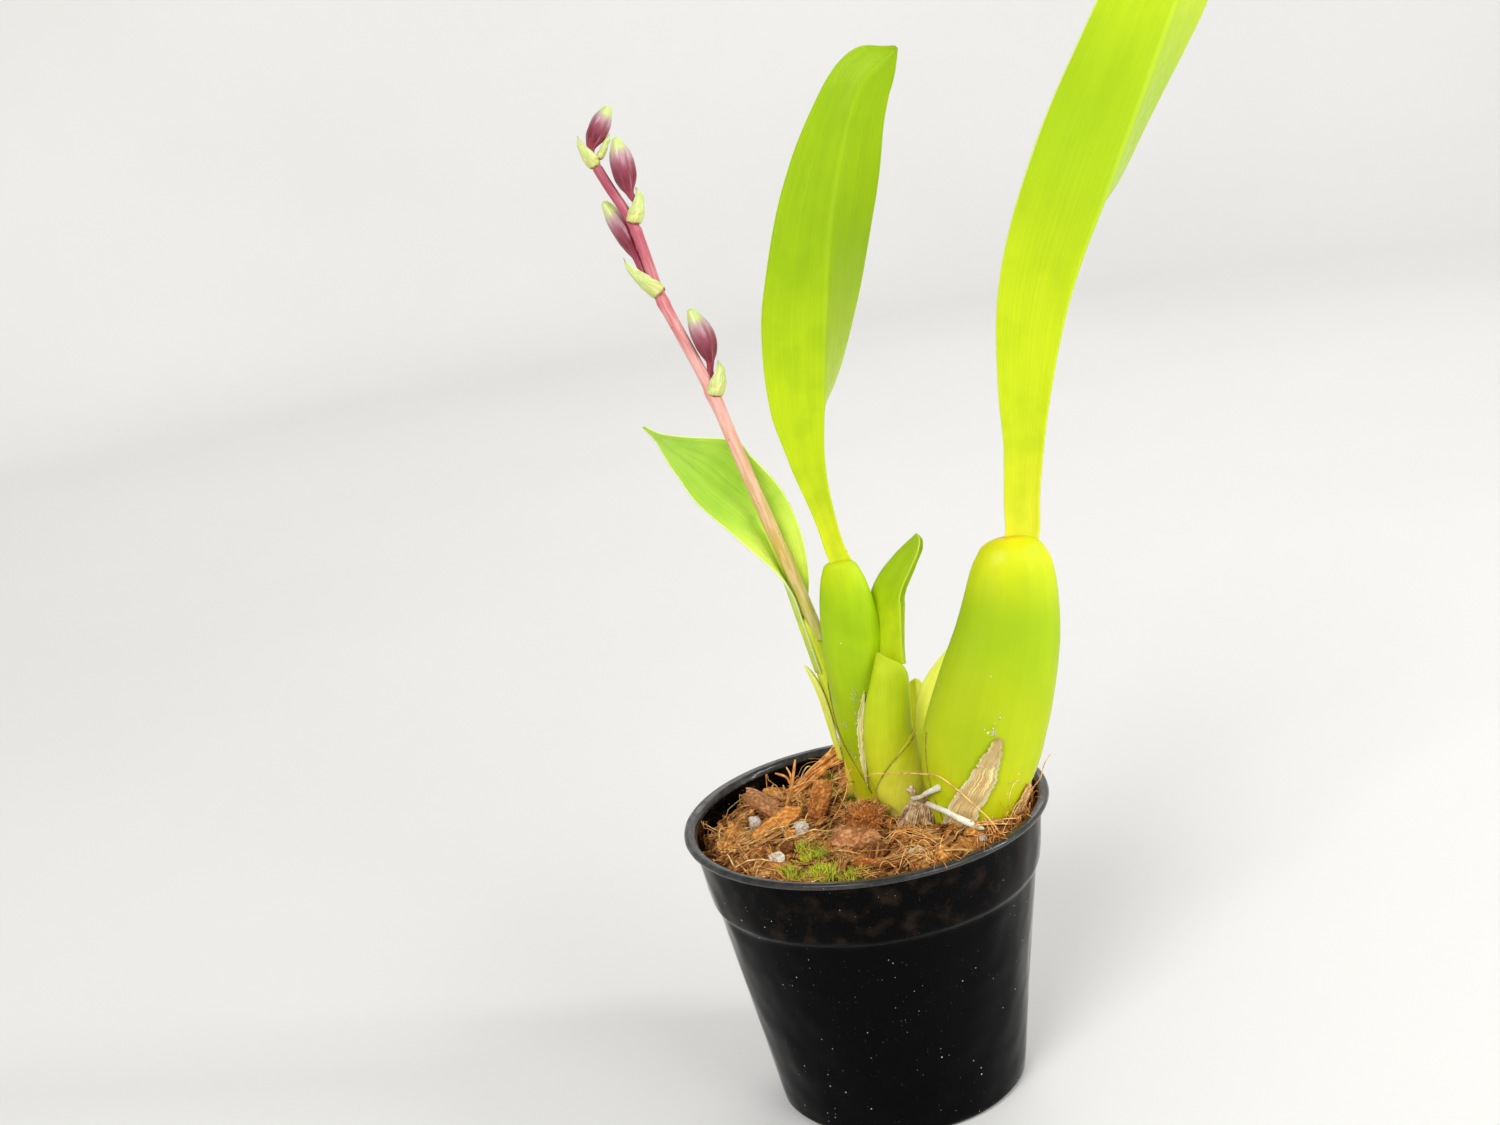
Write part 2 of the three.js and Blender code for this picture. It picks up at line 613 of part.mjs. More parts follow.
// Buds on their stalks: start is the share of the length where the stalk turns into the bud
const buds = [
  {
    points: [
      [-22.1, 8.8, 198.8], [-23, 8.6, 202], [-22.6, 7.9, 205.5], [-23, 7.4, 210], [-25.6, 7.4, 219.4],
    ],
    start: 0.3,
    radius: 3.5,
  },
  {
    points: [
      [-35.8, 8.1, 228], [-36.7, 8.2, 231.5], [-37.7, 9.4, 235], [-39.4, 10.8, 240.5], [-43.1, 10.4, 249.2],
    ],
    start: 0.28,
    radius: 3.4,
  },
  {
    points: [
      [-33.9, 7.8, 246.5], [-34.9, 7.6, 248.5], [-35.8, 7.4, 250.4], [-36.5, 7.2, 256], [-37.1, 7.4, 264.6],
    ],
    start: 0.24,
    radius: 3.5,
  },
  {
    points: [
      [-43.9, 7.5, 260], [-43.9, 7.5, 262], [-43.2, 7.5, 264], [-40.8, 7.3, 267.8], [-37.4, 7.3, 272.3],
    ],
    start: 0.2,
    radius: 3.1,
  },
];
buds.forEach(({ points, start, radius }, i) => {
  const body = along([
    [0, 0.65], [start, 0.8], [start + 0.12, 0.62 * radius], [0.62, radius], [0.8, 0.78 * radius],
    [0.93, 0.42 * radius], [1, 0.5],
  ]);
  add(`bud_${NUMBERS[i]}`, pod({
    line: spine(points, [[0, -90], [1, -90]]),
    wide: body,
    deep: body,
    rows: 12,
    around: 12,
    lobes: 0.06,
  }), 0x64122c, 0.35);
});

add('fibre_strap', pod(strap), 0xc99457, 0.9);

export default group;
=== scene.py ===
# %% [markdown]
# # A potted orchid, built round its solids
#
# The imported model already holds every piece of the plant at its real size. This lesson loads
# those solids as a frame and then makes the surfaces that the eye looks for: smooth bulbs,
# folded leaves with veins, glossy plastic, and a pot full of coir. Every new surface is a
# formula worked out with numpy over whole arrays, in the same millimetres as the solids.

import bpy
import numpy as np
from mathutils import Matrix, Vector


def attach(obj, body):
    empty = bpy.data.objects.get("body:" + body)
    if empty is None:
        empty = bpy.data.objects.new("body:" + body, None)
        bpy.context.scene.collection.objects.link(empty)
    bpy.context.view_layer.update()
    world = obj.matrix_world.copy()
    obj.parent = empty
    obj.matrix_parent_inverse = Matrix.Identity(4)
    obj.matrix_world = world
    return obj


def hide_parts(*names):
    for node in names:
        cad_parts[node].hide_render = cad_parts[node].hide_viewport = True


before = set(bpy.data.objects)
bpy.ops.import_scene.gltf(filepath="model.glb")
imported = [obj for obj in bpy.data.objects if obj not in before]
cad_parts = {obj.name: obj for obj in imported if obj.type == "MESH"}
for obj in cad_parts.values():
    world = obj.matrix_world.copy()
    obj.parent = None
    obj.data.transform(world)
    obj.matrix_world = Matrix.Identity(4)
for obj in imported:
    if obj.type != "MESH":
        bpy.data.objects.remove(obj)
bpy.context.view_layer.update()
MM = 0.001


def show(name, data):
    """Puts an object that holds the data into the scene, at the origin."""
    made = bpy.data.objects.new(name, data)
    bpy.context.scene.collection.objects.link(made)
    return made


print("solids loaded:", len(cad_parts))

# %% [markdown]
# ## The camera
#
# A photograph taken by hand is seldom level. This one looks down on the pot by about 15
# degrees and leans over by about 9. The focal length is stated as on a full-frame camera, so
# the sensor stays 36 mm wide. The lens, the place and the three turns carry the view.

# %% Camera
LENS = 48
CAMERA_PLACE = (0.0, -502.53, 289.08)
CAMERA_TURNS = (74.654, 8.710, -0.068)

optics = bpy.data.cameras.new("camera")
optics.lens = LENS
optics.sensor_width = 36
optics.clip_start = 0.01
camera = show("camera", optics)
camera.location = np.array(CAMERA_PLACE) * MM
camera.rotation_euler = np.radians(CAMERA_TURNS)
bpy.context.scene.camera = camera
print("camera stands", round(camera.location.length, 3), "m from the pot's foot")

# %% [markdown]
# ## Lines and sizes that change smoothly
#
# A plant has no straight edge, so two helpers do most of the drawing. The first turns a few
# set points into a smooth value along a part, such as a leaf's half width. The second turns a
# few points in space into a smooth line. A third says at each share of that line where it is,
# which way the part faces and where its side lies.

# %% Smooth values and lines
def eased(points, share):
    """Value at each share. Between two set points it is y0 (2t³ - 3t² + 1) + y1 (3t² - 2t³),
    plus the slopes at both ends, times the gap, times t³ - 2t² + t and t³ - t². The slope at a
    point is that of the straight line through the points beside it."""
    x, y = np.array(points, float).T
    before = np.maximum(np.arange(len(x)) - 1, 0)
    after = np.minimum(np.arange(len(x)) + 1, len(x) - 1)
    slope = (y[after] - y[before]) / (x[after] - x[before])
    share = np.asarray(share, float)
    i = np.clip(np.searchsorted(x, share, side="right") - 1, 0, len(x) - 2)
    width = x[i + 1] - x[i]
    t = (share - x[i]) / width
    level = y[i] * (2 * t**3 - 3 * t**2 + 1) + y[i + 1] * (3 * t**2 - 2 * t**3)
    return level + width * (slope[i] * (t**3 - 2 * t**2 + t) + slope[i + 1] * (t**3 - t**2))


def smooth_line(points, share):
    """Points at shares of the length of a smooth line: on each stretch a cubic, whose end slopes
    weigh the neighbouring points by the square root of their distances."""
    p = np.array(points, float)
    p = np.vstack([2 * p[0] - p[1], p, 2 * p[-1] - p[-2]])
    gap = np.sqrt(np.linalg.norm(np.diff(p, axis=0), axis=1))[:, None]
    a, b, d0, d1, d2 = p[1:-2], p[2:-1], gap[:-2], gap[1:-1], gap[2:]
    start = d1 * ((a - p[:-3]) / d0 - (b - p[:-3]) / (d0 + d1) + (b - a) / d1)
    end = d1 * ((b - a) / d1 - (p[3:] - a) / (d1 + d2) + (p[3:] - b) / d2)
    t = np.linspace(0, 1, 60, endpoint=False)[None, :, None]
    a, b, start, end = a[:, None], b[:, None], start[:, None], end[:, None]
    cubic = a + start * t + (3 * (b - a) - 2 * start - end) * t**2 + (2 * (a - b) + start + end) * t**3
    dense = np.vstack([cubic.reshape(-1, 3), p[-2]])
    length = np.concatenate([[0], np.cumsum(np.linalg.norm(np.diff(dense, axis=0), axis=1))])
    at = np.asarray(share, float) * length[-1]
    return np.stack([np.interp(at, length, dense[:, k]) for k in range(3)], 1)


def unit(vectors):
    """Each vector divided by its length."""
    return vectors / np.maximum(np.linalg.norm(vectors, axis=-1, keepdims=True), 1e-9)


def course(points, facing, share, root=0.0):
    """Place, share along the set points, face and side at each share. The face is a level
    direction at the facing angle, made square to the line by taking off its part along the
    line; the side is the cross product of line and face. A root carries the line straight back
    from its start by that many millimetres."""
    share, back = np.asarray(share, float), 0.0
    if root:
        length = np.linalg.norm(np.diff(smooth_line(points, np.linspace(0, 1, 200)), axis=0), axis=1).sum()
        distance = share * (length + root) - root
        share, back = np.maximum(distance, 0) / length, np.minimum(distance, 0)[:, None]
    place = smooth_line(points, share)
    step = 0.002
    ahead = unit(smooth_line(points, np.minimum(share + step, 1))
                 - smooth_line(points, np.maximum(share - step, 0)))
    angle = np.radians(eased(facing, share))
    face = np.stack([np.cos(angle), np.sin(angle), np.zeros_like(angle)], 1)
    face = unit(face - ahead * np.sum(face * ahead, 1)[:, None])
    return place + back * ahead, share, face, np.cross(ahead, face)


def crowded(rows, crowd=1.0):
    """Shares from 0 to 1 that lie closer together towards 1: 1 - (1 - t) to a power."""
    return 1 - (1 - np.linspace(0, 1, rows)) ** crowd


def ring_angles(around):
    """Angles of the points round a ring: 2 pi k / around."""
    return 2 * np.pi * np.arange(around) / around


def bowed(start, knee, end, steps):
    """Lines that bow past a knee: (1 - t)² start + 2t(1 - t) knee + t² end."""
    t = np.linspace(0, 1, steps)[None, :, None]
    return (1 - t) ** 2 * start[:, None] + 2 * t * (1 - t) * knee[:, None] + t**2 * end[:, None]


print("half width halfway:", float(eased([[0, 1], [0.5, 3], [1, 1]], 0.5)))

# %% [markdown]
# ## Soft noise
#
# Nothing that grows is quite even, so every skin gets a little noise. It is made of random
# heights on a square grid, blended between the grid points. A seed names the noise, so the
# same seed gives the same bumps each time.

# %% Noise on a flat grid
NOISE_CELLS = 64
NOISE_START = 1000


def level_ends(t):
    """Rises from 0 to 1 with level ends: t²(3 - 2t)."""
    return t * t * (3 - 2 * t)


def soft_noise(x, y, size, seed):
    """Smooth noise from -1 to 1: random heights on a square grid of that size, blended between
    the four grid points round each place by level_ends. The grid repeats after NOISE_CELLS."""
    grid = np.random.default_rng(seed).uniform(-1, 1, (NOISE_CELLS, NOISE_CELLS))
    x, y = np.asarray(x) / size + NOISE_START, np.asarray(y) / size + NOISE_START
    i, j = np.floor(x).astype(int), np.floor(y).astype(int)
    u, v = level_ends(x - i), level_ends(y - j)
    left, right = i % NOISE_CELLS, (i + 1) % NOISE_CELLS
    low, high = j % NOISE_CELLS, (j + 1) % NOISE_CELLS
    near = grid[left, low] * (1 - u) + grid[right, low] * u
    far = grid[left, high] * (1 - u) + grid[right, high] * u
    return near * (1 - v) + far * v


print("noise at one place:", round(float(soft_noise(1.5, 2.5, 4.0, 1)), 3))

# %% [markdown]
# ## From arrays to meshes
#
# A surface comes out of its formula as an array of points and an array of faces, which are
# numbers of points. One helper puts both into a mesh. The signed volume tells whether the
# faces point outwards, and turns them all if they don't. Another helper makes the mesh a piece
# of the part, with its finish, in place of the solids that it stands for.

# %% Put arrays into meshes
def signed_volume(points, faces):
    """Six times the volume inside: for each face fanned into triangles, the sum of the first
    corner dotted with the cross product of the other two."""
    total = 0.0
    for block in faces:
        for k in range(1, block.shape[1] - 1):
            a, b, c = points[block[:, 0]], points[block[:, k]], points[block[:, k + 1]]
            total += float(np.sum(a * np.cross(b, c)))
    return total


def put_mesh(name, points, faces, uv=None, marks=None):
    """A mesh from points in millimetres and blocks of faces; uv holds one pair for each corner
    or for each point, and marks hold one number for each point."""
    faces = [np.asarray(block, dtype=np.int64) for block in faces if len(block)]
    if uv is not None and not isinstance(uv, list):
        uv = [uv[block] for block in faces]
    if signed_volume(points, faces) < 0:
        faces = [block[:, ::-1] for block in faces]
        uv = [block[:, ::-1] for block in uv] if uv else None
    mesh = bpy.data.meshes.new(name)
    corners = np.concatenate([block.ravel() for block in faces])
    sizes = np.concatenate([np.full(len(block), block.shape[1]) for block in faces])
    starts = np.concatenate([[0], np.cumsum(sizes)[:-1]])
    mesh.vertices.add(len(points))
    mesh.vertices.foreach_set("co", (points * MM).astype(np.float32).ravel())
    mesh.loops.add(len(corners))
    mesh.polygons.add(len(sizes))
    mesh.polygons.foreach_set("loop_start", starts.astype(np.int32))
    mesh.polygons.foreach_set("vertices", corners.astype(np.int32))
    mesh.polygons.foreach_set("use_smooth", np.ones(len(sizes), bool))
    mesh.update(calc_edges=True)
    if uv:
        pairs = np.concatenate([block.reshape(-1, 2) for block in uv])
        mesh.uv_layers.new(name="surface").uv.foreach_set("vector", pairs.astype(np.float32).ravel())
    for label, values in (marks or {}).items():
        mesh.attributes.new(label, "FLOAT", "POINT").data.foreach_set("value", values.astype(np.float32))
    mesh.validate()
    return mesh


def settle(mesh, material, slot, *nodes):
    """Makes the piece from its mesh, with its finish, on the part's only body, in place of nodes."""
    piece = show(mesh.name, mesh)
    mesh.materials.append(material)
    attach(piece, "root")
    if nodes:
        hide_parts(*nodes)
    print(f"{mesh.name}: {len(mesh.polygons)} faces, {np.round(np.array(piece.dimensions) / MM, 1)} mm")


print("mesh helpers ready")

# %% [markdown]
# ## Three kinds of skin
#
# Three helpers close the skins: one for anything round, one for anything flat with two faces,
# and one for many thin tubes at once. Round and flat meshes get a map of their surface, with
# u round or across and v along, so that veins can follow the leaf.

# %% Round skins, blades and tubes
def round_mesh(name, rings, marks=None):
    """Closed skin over rings of points: quads between neighbouring rings, and a fan of
    triangles to the mean point of the first and the last ring."""
    rows, around = rings.shape[:2]
    i, k = np.meshgrid(np.arange(rows - 1), np.arange(around), indexing="ij")
    right = (k + 1) % around
    quads = np.stack([i * around + k, i * around + right, (i + 1) * around + right, (i + 1) * around + k], -1)
    u = np.stack([k, k + 1, k + 1, k], -1) / around
    v = np.stack([i, i, i + 1, i + 1], -1) / (rows - 1)
    k = np.arange(around)
    right = (k + 1) % around
    foot = np.stack([right, k, np.full(around, rows * around)], 1)
    top = (rows - 1) * around
    lid = np.stack([top + k, top + right, np.full(around, rows * around + 1)], 1)
    fan = np.stack([k + 1, k, k + 0.5], 1) / around
    fan_top = np.stack([k, k + 1, k + 0.5], 1) / around
    points = np.vstack([rings.reshape(-1, 3), rings[0].mean(0), rings[-1].mean(0)])
    uv = [np.stack([u, v], -1).reshape(-1, 4, 2),
          np.stack([fan, np.zeros_like(fan)], -1), np.stack([fan_top, np.ones_like(fan_top)], -1)]
    if marks:
        marks = {key: np.concatenate([m.ravel(), [m[0].mean(), m[-1].mean()]]) for key, m in marks.items()}
    return put_mesh(name, points, [quads.reshape(-1, 4), foot, lid], uv, marks)


def two_faced_mesh(name, outer, inner):
    """Closed skin of a thin blade: a grid of quads on each face, and a row of quads along each
    of the four edges."""
    rows, across = outer.shape[:2]
    near = np.arange(rows * across).reshape(rows, across)
    far = near + rows * across
    corners = [
        (near[:-1, :-1], near[:-1, 1:], near[1:, 1:], near[1:, :-1]),
        (far[:-1, :-1], far[1:, :-1], far[1:, 1:], far[:-1, 1:]),
        (near[:-1, 0], near[1:, 0], far[1:, 0], far[:-1, 0]),
        (near[1:, -1], near[:-1, -1], far[:-1, -1], far[1:, -1]),
        (near[0, 1:], near[0, :-1], far[0, :-1], far[0, 1:]),
        (near[-1, :-1], near[-1, 1:], far[-1, 1:], far[-1, :-1]),
    ]
    faces = [np.stack(four, -1).reshape(-1, 4) for four in corners]
    v, u = np.meshgrid(np.linspace(0, 1, rows), np.linspace(0, 1, across), indexing="ij")
    uv = np.tile(np.stack([u, v], -1).reshape(-1, 2), (2, 1))
    return put_mesh(name, np.vstack([outer.reshape(-1, 3), inner.reshape(-1, 3)]), faces, uv)


def ring_quads(index):
    """Quads between neighbouring rings, from the numbers of the points, ring by ring."""
    after = np.roll(index, -1, axis=-1)
    four = [index[..., :-1, :], index[..., 1:, :], after[..., 1:, :], after[..., :-1, :]]
    return np.stack(four, -1).reshape(-1, 4)


def tube_arrays(lines, radii, sides):
    """Rings of points round many lines at once. Across each line one arm lies level and the
    other is square to it; a ring is the line's point plus the radius times cosine and sine on
    the two arms. Both ends close to a point."""
    ahead = unit(np.gradient(lines, axis=1))
    level = unit(np.cross(ahead, [0.0, 0.02, 1.0]))
    up = np.cross(level, ahead)
    angle = ring_angles(sides)
    arm = np.cos(angle)[:, None] * level[:, :, None] + np.sin(angle)[:, None] * up[:, :, None]
    ring = lines[:, :, None] + radii[:, :, None, None] * arm
    count, steps = lines.shape[:2]
    index = np.arange(count * steps * sides).reshape(count, steps, sides)
    after = np.roll(index, -1, axis=2)
    foot = index.size + np.arange(count)[:, None] + np.zeros(sides, int)
    ends = [np.stack([index[:, 0], after[:, 0], foot], -1).reshape(-1, 3),
            np.stack([after[:, -1], index[:, -1], foot + count], -1).reshape(-1, 3)]
    points = np.vstack([ring.reshape(-1, 3), lines[:, 0], lines[:, -1]])
    return points, [ring_quads(index), *ends]


def tubes_mesh(name, lines, radii, sides, tint):
    """Many thin closed tubes in one mesh, with a tint for each tube."""
    points, faces = tube_arrays(lines, radii, sides)
    each = np.concatenate([np.repeat(tint, lines.shape[1] * sides), tint, tint])
    return put_mesh(name, points, faces, None, {"tint": each})


thin_tube = tube_arrays(np.array([[[0, 0, 0], [0, 0, 1.0]]]), np.ones((1, 2)), 5)
print("a tube of five sides has", len(thin_tube[0]), "points")

# %% [markdown]
# ## Shader groups
#
# The same few effects return on every finish: blotches, thin lines that run lengthwise,
# scattered specks, and a band at a blade's edge. Each is built once as a group that
# puts out a mask from 0 to 1, and each finish then decides what the mask does.

# %% Small helpers for nodes
def feed(tree, socket, value):
    """Links a socket to another one's value, or sets its own."""
    if isinstance(value, bpy.types.NodeSocket):
        tree.links.new(value, socket)
    else:
        socket.default_value = value


def put(tree, kind, values=None, **settings):
    """Adds a node, sets its options, and feeds its inputs."""
    made = tree.nodes.new(kind)
    for key, value in settings.items():
        setattr(made, key, value)
    for key, value in (values or {}).items():
        feed(tree, made.inputs[key], value)
    return made


def reckon(tree, operation, a, b=0.0):
    """One sum on two values, such as their difference or quotient."""
    return put(tree, "ShaderNodeMath", {0: a, 1: b}, operation=operation).outputs[0]


def product(tree, a, b):
    """a times b."""
    return reckon(tree, "MULTIPLY", a, b)


def between(tree, value, low, high, out_low=0.0, out_high=1.0):
    """Goes from one value to another by t²(3 - 2t) while the input goes from low to high."""
    return put(tree, "ShaderNodeMapRange", {
        "Value": value, "From Min": low, "From Max": high, "To Min": out_low, "To Max": out_high,
    }, interpolation_type="SMOOTHSTEP").outputs[0]


def tinted(tree, mask, below, above, mode="MIX"):
    """Colour that goes from below to above as the mask goes from 0 to 1."""
    sockets = {0: mask}
    for key, colour in ((6, below), (7, above)):
        sockets[key] = colour if isinstance(colour, bpy.types.NodeSocket) else (*colour, 1.0)
    return put(tree, "ShaderNodeMix", sockets, data_type="RGBA", blend_type=mode).outputs[2]


def layered(tree, colour, *layers):
    """The colour with each layer (mask, tone) laid over it in turn."""
    for mask, tone in layers:
        colour = tinted(tree, mask, colour, tone)
    return colour


def times(tree, colour, shares):
    """The colour with its red, green and blue each times a share."""
    return tinted(tree, 1.0, colour, shares, "MULTIPLY")


def parts_of(tree, vector):
    """The three parts of a vector."""
    return put(tree, "ShaderNodeSeparateXYZ", {0: vector}).outputs


def colour_ramp(tree, value, stops, mode="LINEAR"):
    """Colour at a value, mixed between the two stops beside it; a stop is (value, colour)."""
    made = put(tree, "ShaderNodeValToRGB", {0: value})
    made.color_ramp.interpolation = mode
    while len(made.color_ramp.elements) < len(stops):
        made.color_ramp.elements.new(0.5)
    for stop, (share, colour) in zip(made.color_ramp.elements, stops):
        stop.position = share
        stop.color = (*colour, 1.0)
    return made.outputs[0]


def new_group(name, **numbers):
    """A shader group that takes a vector and some numbers and gives a mask. Returns the group,
    the values it is given, and the socket for its result."""
    tree = bpy.data.node_groups.new(name, "ShaderNodeTree")
    tree.interface.new_socket("Vector", in_out="INPUT", socket_type="NodeSocketVector")
    for label, value in numbers.items():
        tree.interface.new_socket(label, in_out="INPUT", socket_type="NodeSocketFloat").default_value = value
    tree.interface.new_socket("Mask", in_out="OUTPUT", socket_type="NodeSocketFloat")
    return tree, tree.nodes.new("NodeGroupInput").outputs, tree.nodes.new("NodeGroupOutput").inputs[0]


def mask_of(tree, group, vector, **numbers):
    """The mask that a group gives at a vector, with its numbers set for this use."""
    return put(tree, "ShaderNodeGroup", {"Vector": vector, **numbers}, node_tree=group).outputs[0]


print("helpers ready")

# %% [markdown]
# ## Four effects
#
# Blotches are noise of a stated size in millimetres. Lengthwise lines are noise on the surface
# map, squeezed across and drawn out along the part. Specks are small discs, one in each cell
# of a grid of random cells, in a share of the cells only. The edge band reads the surface map:
# its u is 0 at one margin and 1 at the other, so the distance from the edge is half a unit
# less the distance from the middle.

# %% Blotches, lines, specks and edges
blotches, given, result = new_group("blotches", Size=5.0, Detail=3.0, Low=0.45, High=0.62)
grain = put(blotches, "ShaderNodeTexNoise", {
    "Vector": given["Vector"], "Scale": reckon(blotches, "DIVIDE", 1000.0, given["Size"]),
    "Detail": given["Detail"]})
blotches.links.new(between(blotches, grain.outputs[0], given["Low"], given["High"]), result)

lengthwise, given, result = new_group("lengthwise_lines", Across=40.0, Along=1.5, Low=0.4, High=0.6)
across, along = parts_of(lengthwise, given["Vector"])[:2]
stretched = put(lengthwise, "ShaderNodeCombineXYZ", {
    0: product(lengthwise, across, given["Across"]), 1: product(lengthwise, along, given["Along"])})
grain = put(lengthwise, "ShaderNodeTexNoise", {"Vector": stretched.outputs[0], "Scale": 1.0, "Detail": 2.0})
lengthwise.links.new(between(lengthwise, grain.outputs[0], given["Low"], given["High"]), result)

specks, given, result = new_group("specks", Spacing=2.0, Size=0.25, Share=0.3)
cells = put(specks, "ShaderNodeTexVoronoi", {
    "Vector": given["Vector"], "Scale": reckon(specks, "DIVIDE", 1000.0, given["Spacing"])})
chance = put(specks, "ShaderNodeSeparateColor", {0: cells.outputs["Color"]}).outputs
here = reckon(specks, "LESS_THAN", chance[0], given["Share"])
grown = product(specks, given["Size"], reckon(specks, "ADD", chance[1], 0.4))
dot = between(specks, cells.outputs["Distance"], grown, product(specks, grown, 0.6))
specks.links.new(product(specks, here, dot), result)

edge_band, given, result = new_group("edge_band", Width=0.03)
across = parts_of(edge_band, given["Vector"])[0]
from_middle = reckon(edge_band, "ABSOLUTE", reckon(edge_band, "SUBTRACT", across, 0.5))
from_edge = reckon(edge_band, "SUBTRACT", 0.5, from_middle)
edge_band.links.new(between(edge_band, from_edge, given["Width"], 0.0), result)
print("groups:", [group.name for group in bpy.data.node_groups])

# %% [markdown]
# ## Living green
#
# Fresh leaf tissue is bright because light goes in, scatters and comes out again, so the
# finish uses subsurface scattering with a short reach and a waxy gloss on top. One recipe
# serves leaves, bulbs, sheaths and bracts: a colour along the part, a second colour in soft
# blotches, fine lengthwise lines that also raise the surface, and a margin of its own colour.

# %% One recipe for plant tissue
def start_finish(name):
    """An empty finish: its material, tree, shader, surface map and object coordinates."""
    material = bpy.data.materials.new(name)
    material.use_nodes = True
    tree = material.node_tree
    coordinates = tree.nodes.new("ShaderNodeTexCoord").outputs
    return material, tree, tree.nodes["Principled BSDF"], coordinates["UV"], coordinates["Object"]


def dress(tree, shader, colour, **values):
    """Feeds the shader its colour and other values, whose names have _ in place of a space."""
    for label, value in {"Base_Color": colour, **values}.items():
        feed(tree, shader.inputs[label.replace("_", " ")], value)


def raise_surface(tree, shader, height, depth):
    """Bump from a height mask; depth is in millimetres."""
    bump = put(tree, "ShaderNodeBump", {"Height": height, "Distance": depth * MM, "Strength": 1.0})
    tree.links.new(bump.outputs[0], shader.inputs["Normal"])


def plant_finish(name, colours, blotch, lines=90, line_shade=0.05, rim=None, margin=0.02, midrib=None,
                 speck=None, speck_share=0.25, roughness=0.36, depth=0.03, glow=0.35):
    """Plant tissue: each mask in turn mixes its own colour into the colour so far. colours is a
    list of (share along, colour), blotch is (colour, size in mm, strength), midrib is (colour,
    strength), and rim is the margin's colour; glow is the weight of the light that goes in."""
    material, tree, shader, surface, place = start_finish(name)
    across, along = parts_of(tree, surface)[:2]
    tone, size, strength = blotch
    patch = mask_of(tree, blotches, place, Size=size, Low=0.42, High=0.66)
    colour = colour_ramp(tree, along, colours, "EASE")
    colour = tinted(tree, product(tree, patch, strength), colour, tone)
    cloud = mask_of(tree, lengthwise, surface, Across=7.0, Along=5.0, Low=0.35, High=0.65)
    colour = tinted(tree, product(tree, cloud, 0.25), colour, times(tree, colour, (0.72, 0.82, 0.6)))
    fine = mask_of(tree, lengthwise, surface, Across=float(lines), Along=2.0)
    shade = (1 - line_shade, 1 - line_shade * 0.7, 1 - line_shade)
    colour = tinted(tree, fine, colour, times(tree, colour, shade))
    if midrib:
        from_middle = reckon(tree, "ABSOLUTE", reckon(tree, "SUBTRACT", across, 0.5))
        rib = between(tree, from_middle, 0.022, 0.006)
        colour = tinted(tree, product(tree, rib, midrib[1]), colour, midrib[0])
    if rim:
        colour = tinted(tree, mask_of(tree, edge_band, surface, Width=margin), colour, rim)
    if speck:
        dots = mask_of(tree, specks, place, Spacing=2.6, Size=0.16, Share=speck_share)
        colour = tinted(tree, dots, colour, speck)
    uneven = mask_of(tree, blotches, place, Size=3.0, Low=0.3, High=0.7)
    dress(tree, shader, colour, Roughness=between(tree, uneven, 0.0, 1.0, roughness - 0.05, roughness + 0.07),
          Subsurface_Weight=glow, Subsurface_Radius=(1.0, 0.9, 0.15), Subsurface_Scale=0.0016,
          IOR=1.42, Specular_IOR_Level=0.25)
    raise_surface(tree, shader, fine, depth)
    return material


print("recipe ready")

# %% [markdown]
# ## Eleven greens
#
# Each kind of piece has its own green. The first list holds its colours as shares of the way from foot to
# tip. Most leaves are pale at the foot and darker further up, and the tall bulb browns at its tip. The
# sheaths at the back are painted a near-white yellow for the light that comes through them, and the low leaf
# is painted brighter in its middle.

# %% The greens
leaf_tall_finish = plant_finish(
    "leaf_tall_green",
    [(0.0, (0.68, 0.66, 0.02)), (0.2, (0.52, 0.62, 0.006)), (0.5, (0.34, 0.50, 0.002)),
     (0.75, (0.48, 0.61, 0.002)), (1.0, (0.56, 0.68, 0.003))],
    ((0.34, 0.50, 0.002), 9.0, 0.28), lines=110, rim=(0.66, 0.72, 0.2), margin=0.01,
    midrib=((0.58, 0.70, 0.06), 0.25), speck=(0.28, 0.2, 0.03), speck_share=0.03)
leaf_middle_finish = plant_finish(
    "leaf_middle_green",
    [(0.0, (0.64, 0.68, 0.010)), (0.25, (0.47, 0.61, 0.004)), (0.6, (0.31, 0.48, 0.002)),
     (1.0, (0.33, 0.51, 0.002))],
    ((0.24, 0.42, 0.002), 8.0, 0.26), lines=100, rim=(0.56, 0.68, 0.1), margin=0.01,
    midrib=((0.46, 0.62, 0.04), 0.14), speck=(0.2, 0.2, 0.02), speck_share=0.02)
leaf_young_finish = plant_finish(
    "leaf_young_green",
    [(0.0, (0.50, 0.60, 0.004)), (0.3, (0.46, 0.58, 0.003)), (0.6, (0.34, 0.49, 0.003)),
     (1.0, (0.34, 0.48, 0.005))],
    ((0.27, 0.42, 0.003), 5.0, 0.3), lines=60, rim=(0.42, 0.56, 0.03), margin=0.008)
# Its bright middle, from 0.2 to 0.42 of the way up, is painted light: it stands for light coming through the
# leaf and lifts it out of the stem's shade.
leaf_low_finish = plant_finish(
    "leaf_low_green",
    [(0.0, (0.66, 0.74, 0.10)), (0.2, (0.68, 0.86, 0.12)), (0.42, (0.72, 0.92, 0.14)),
     (0.7, (0.42, 0.64, 0.06)), (1.0, (0.46, 0.66, 0.12))],
    ((0.32, 0.58, 0.045), 7.0, 0.4), lines=90, line_shade=0.12, rim=(0.70, 0.82, 0.36), margin=0.018,
    speck=(0.85, 0.86, 0.6), speck_share=0.02, roughness=0.4, depth=0.05, glow=0.7)
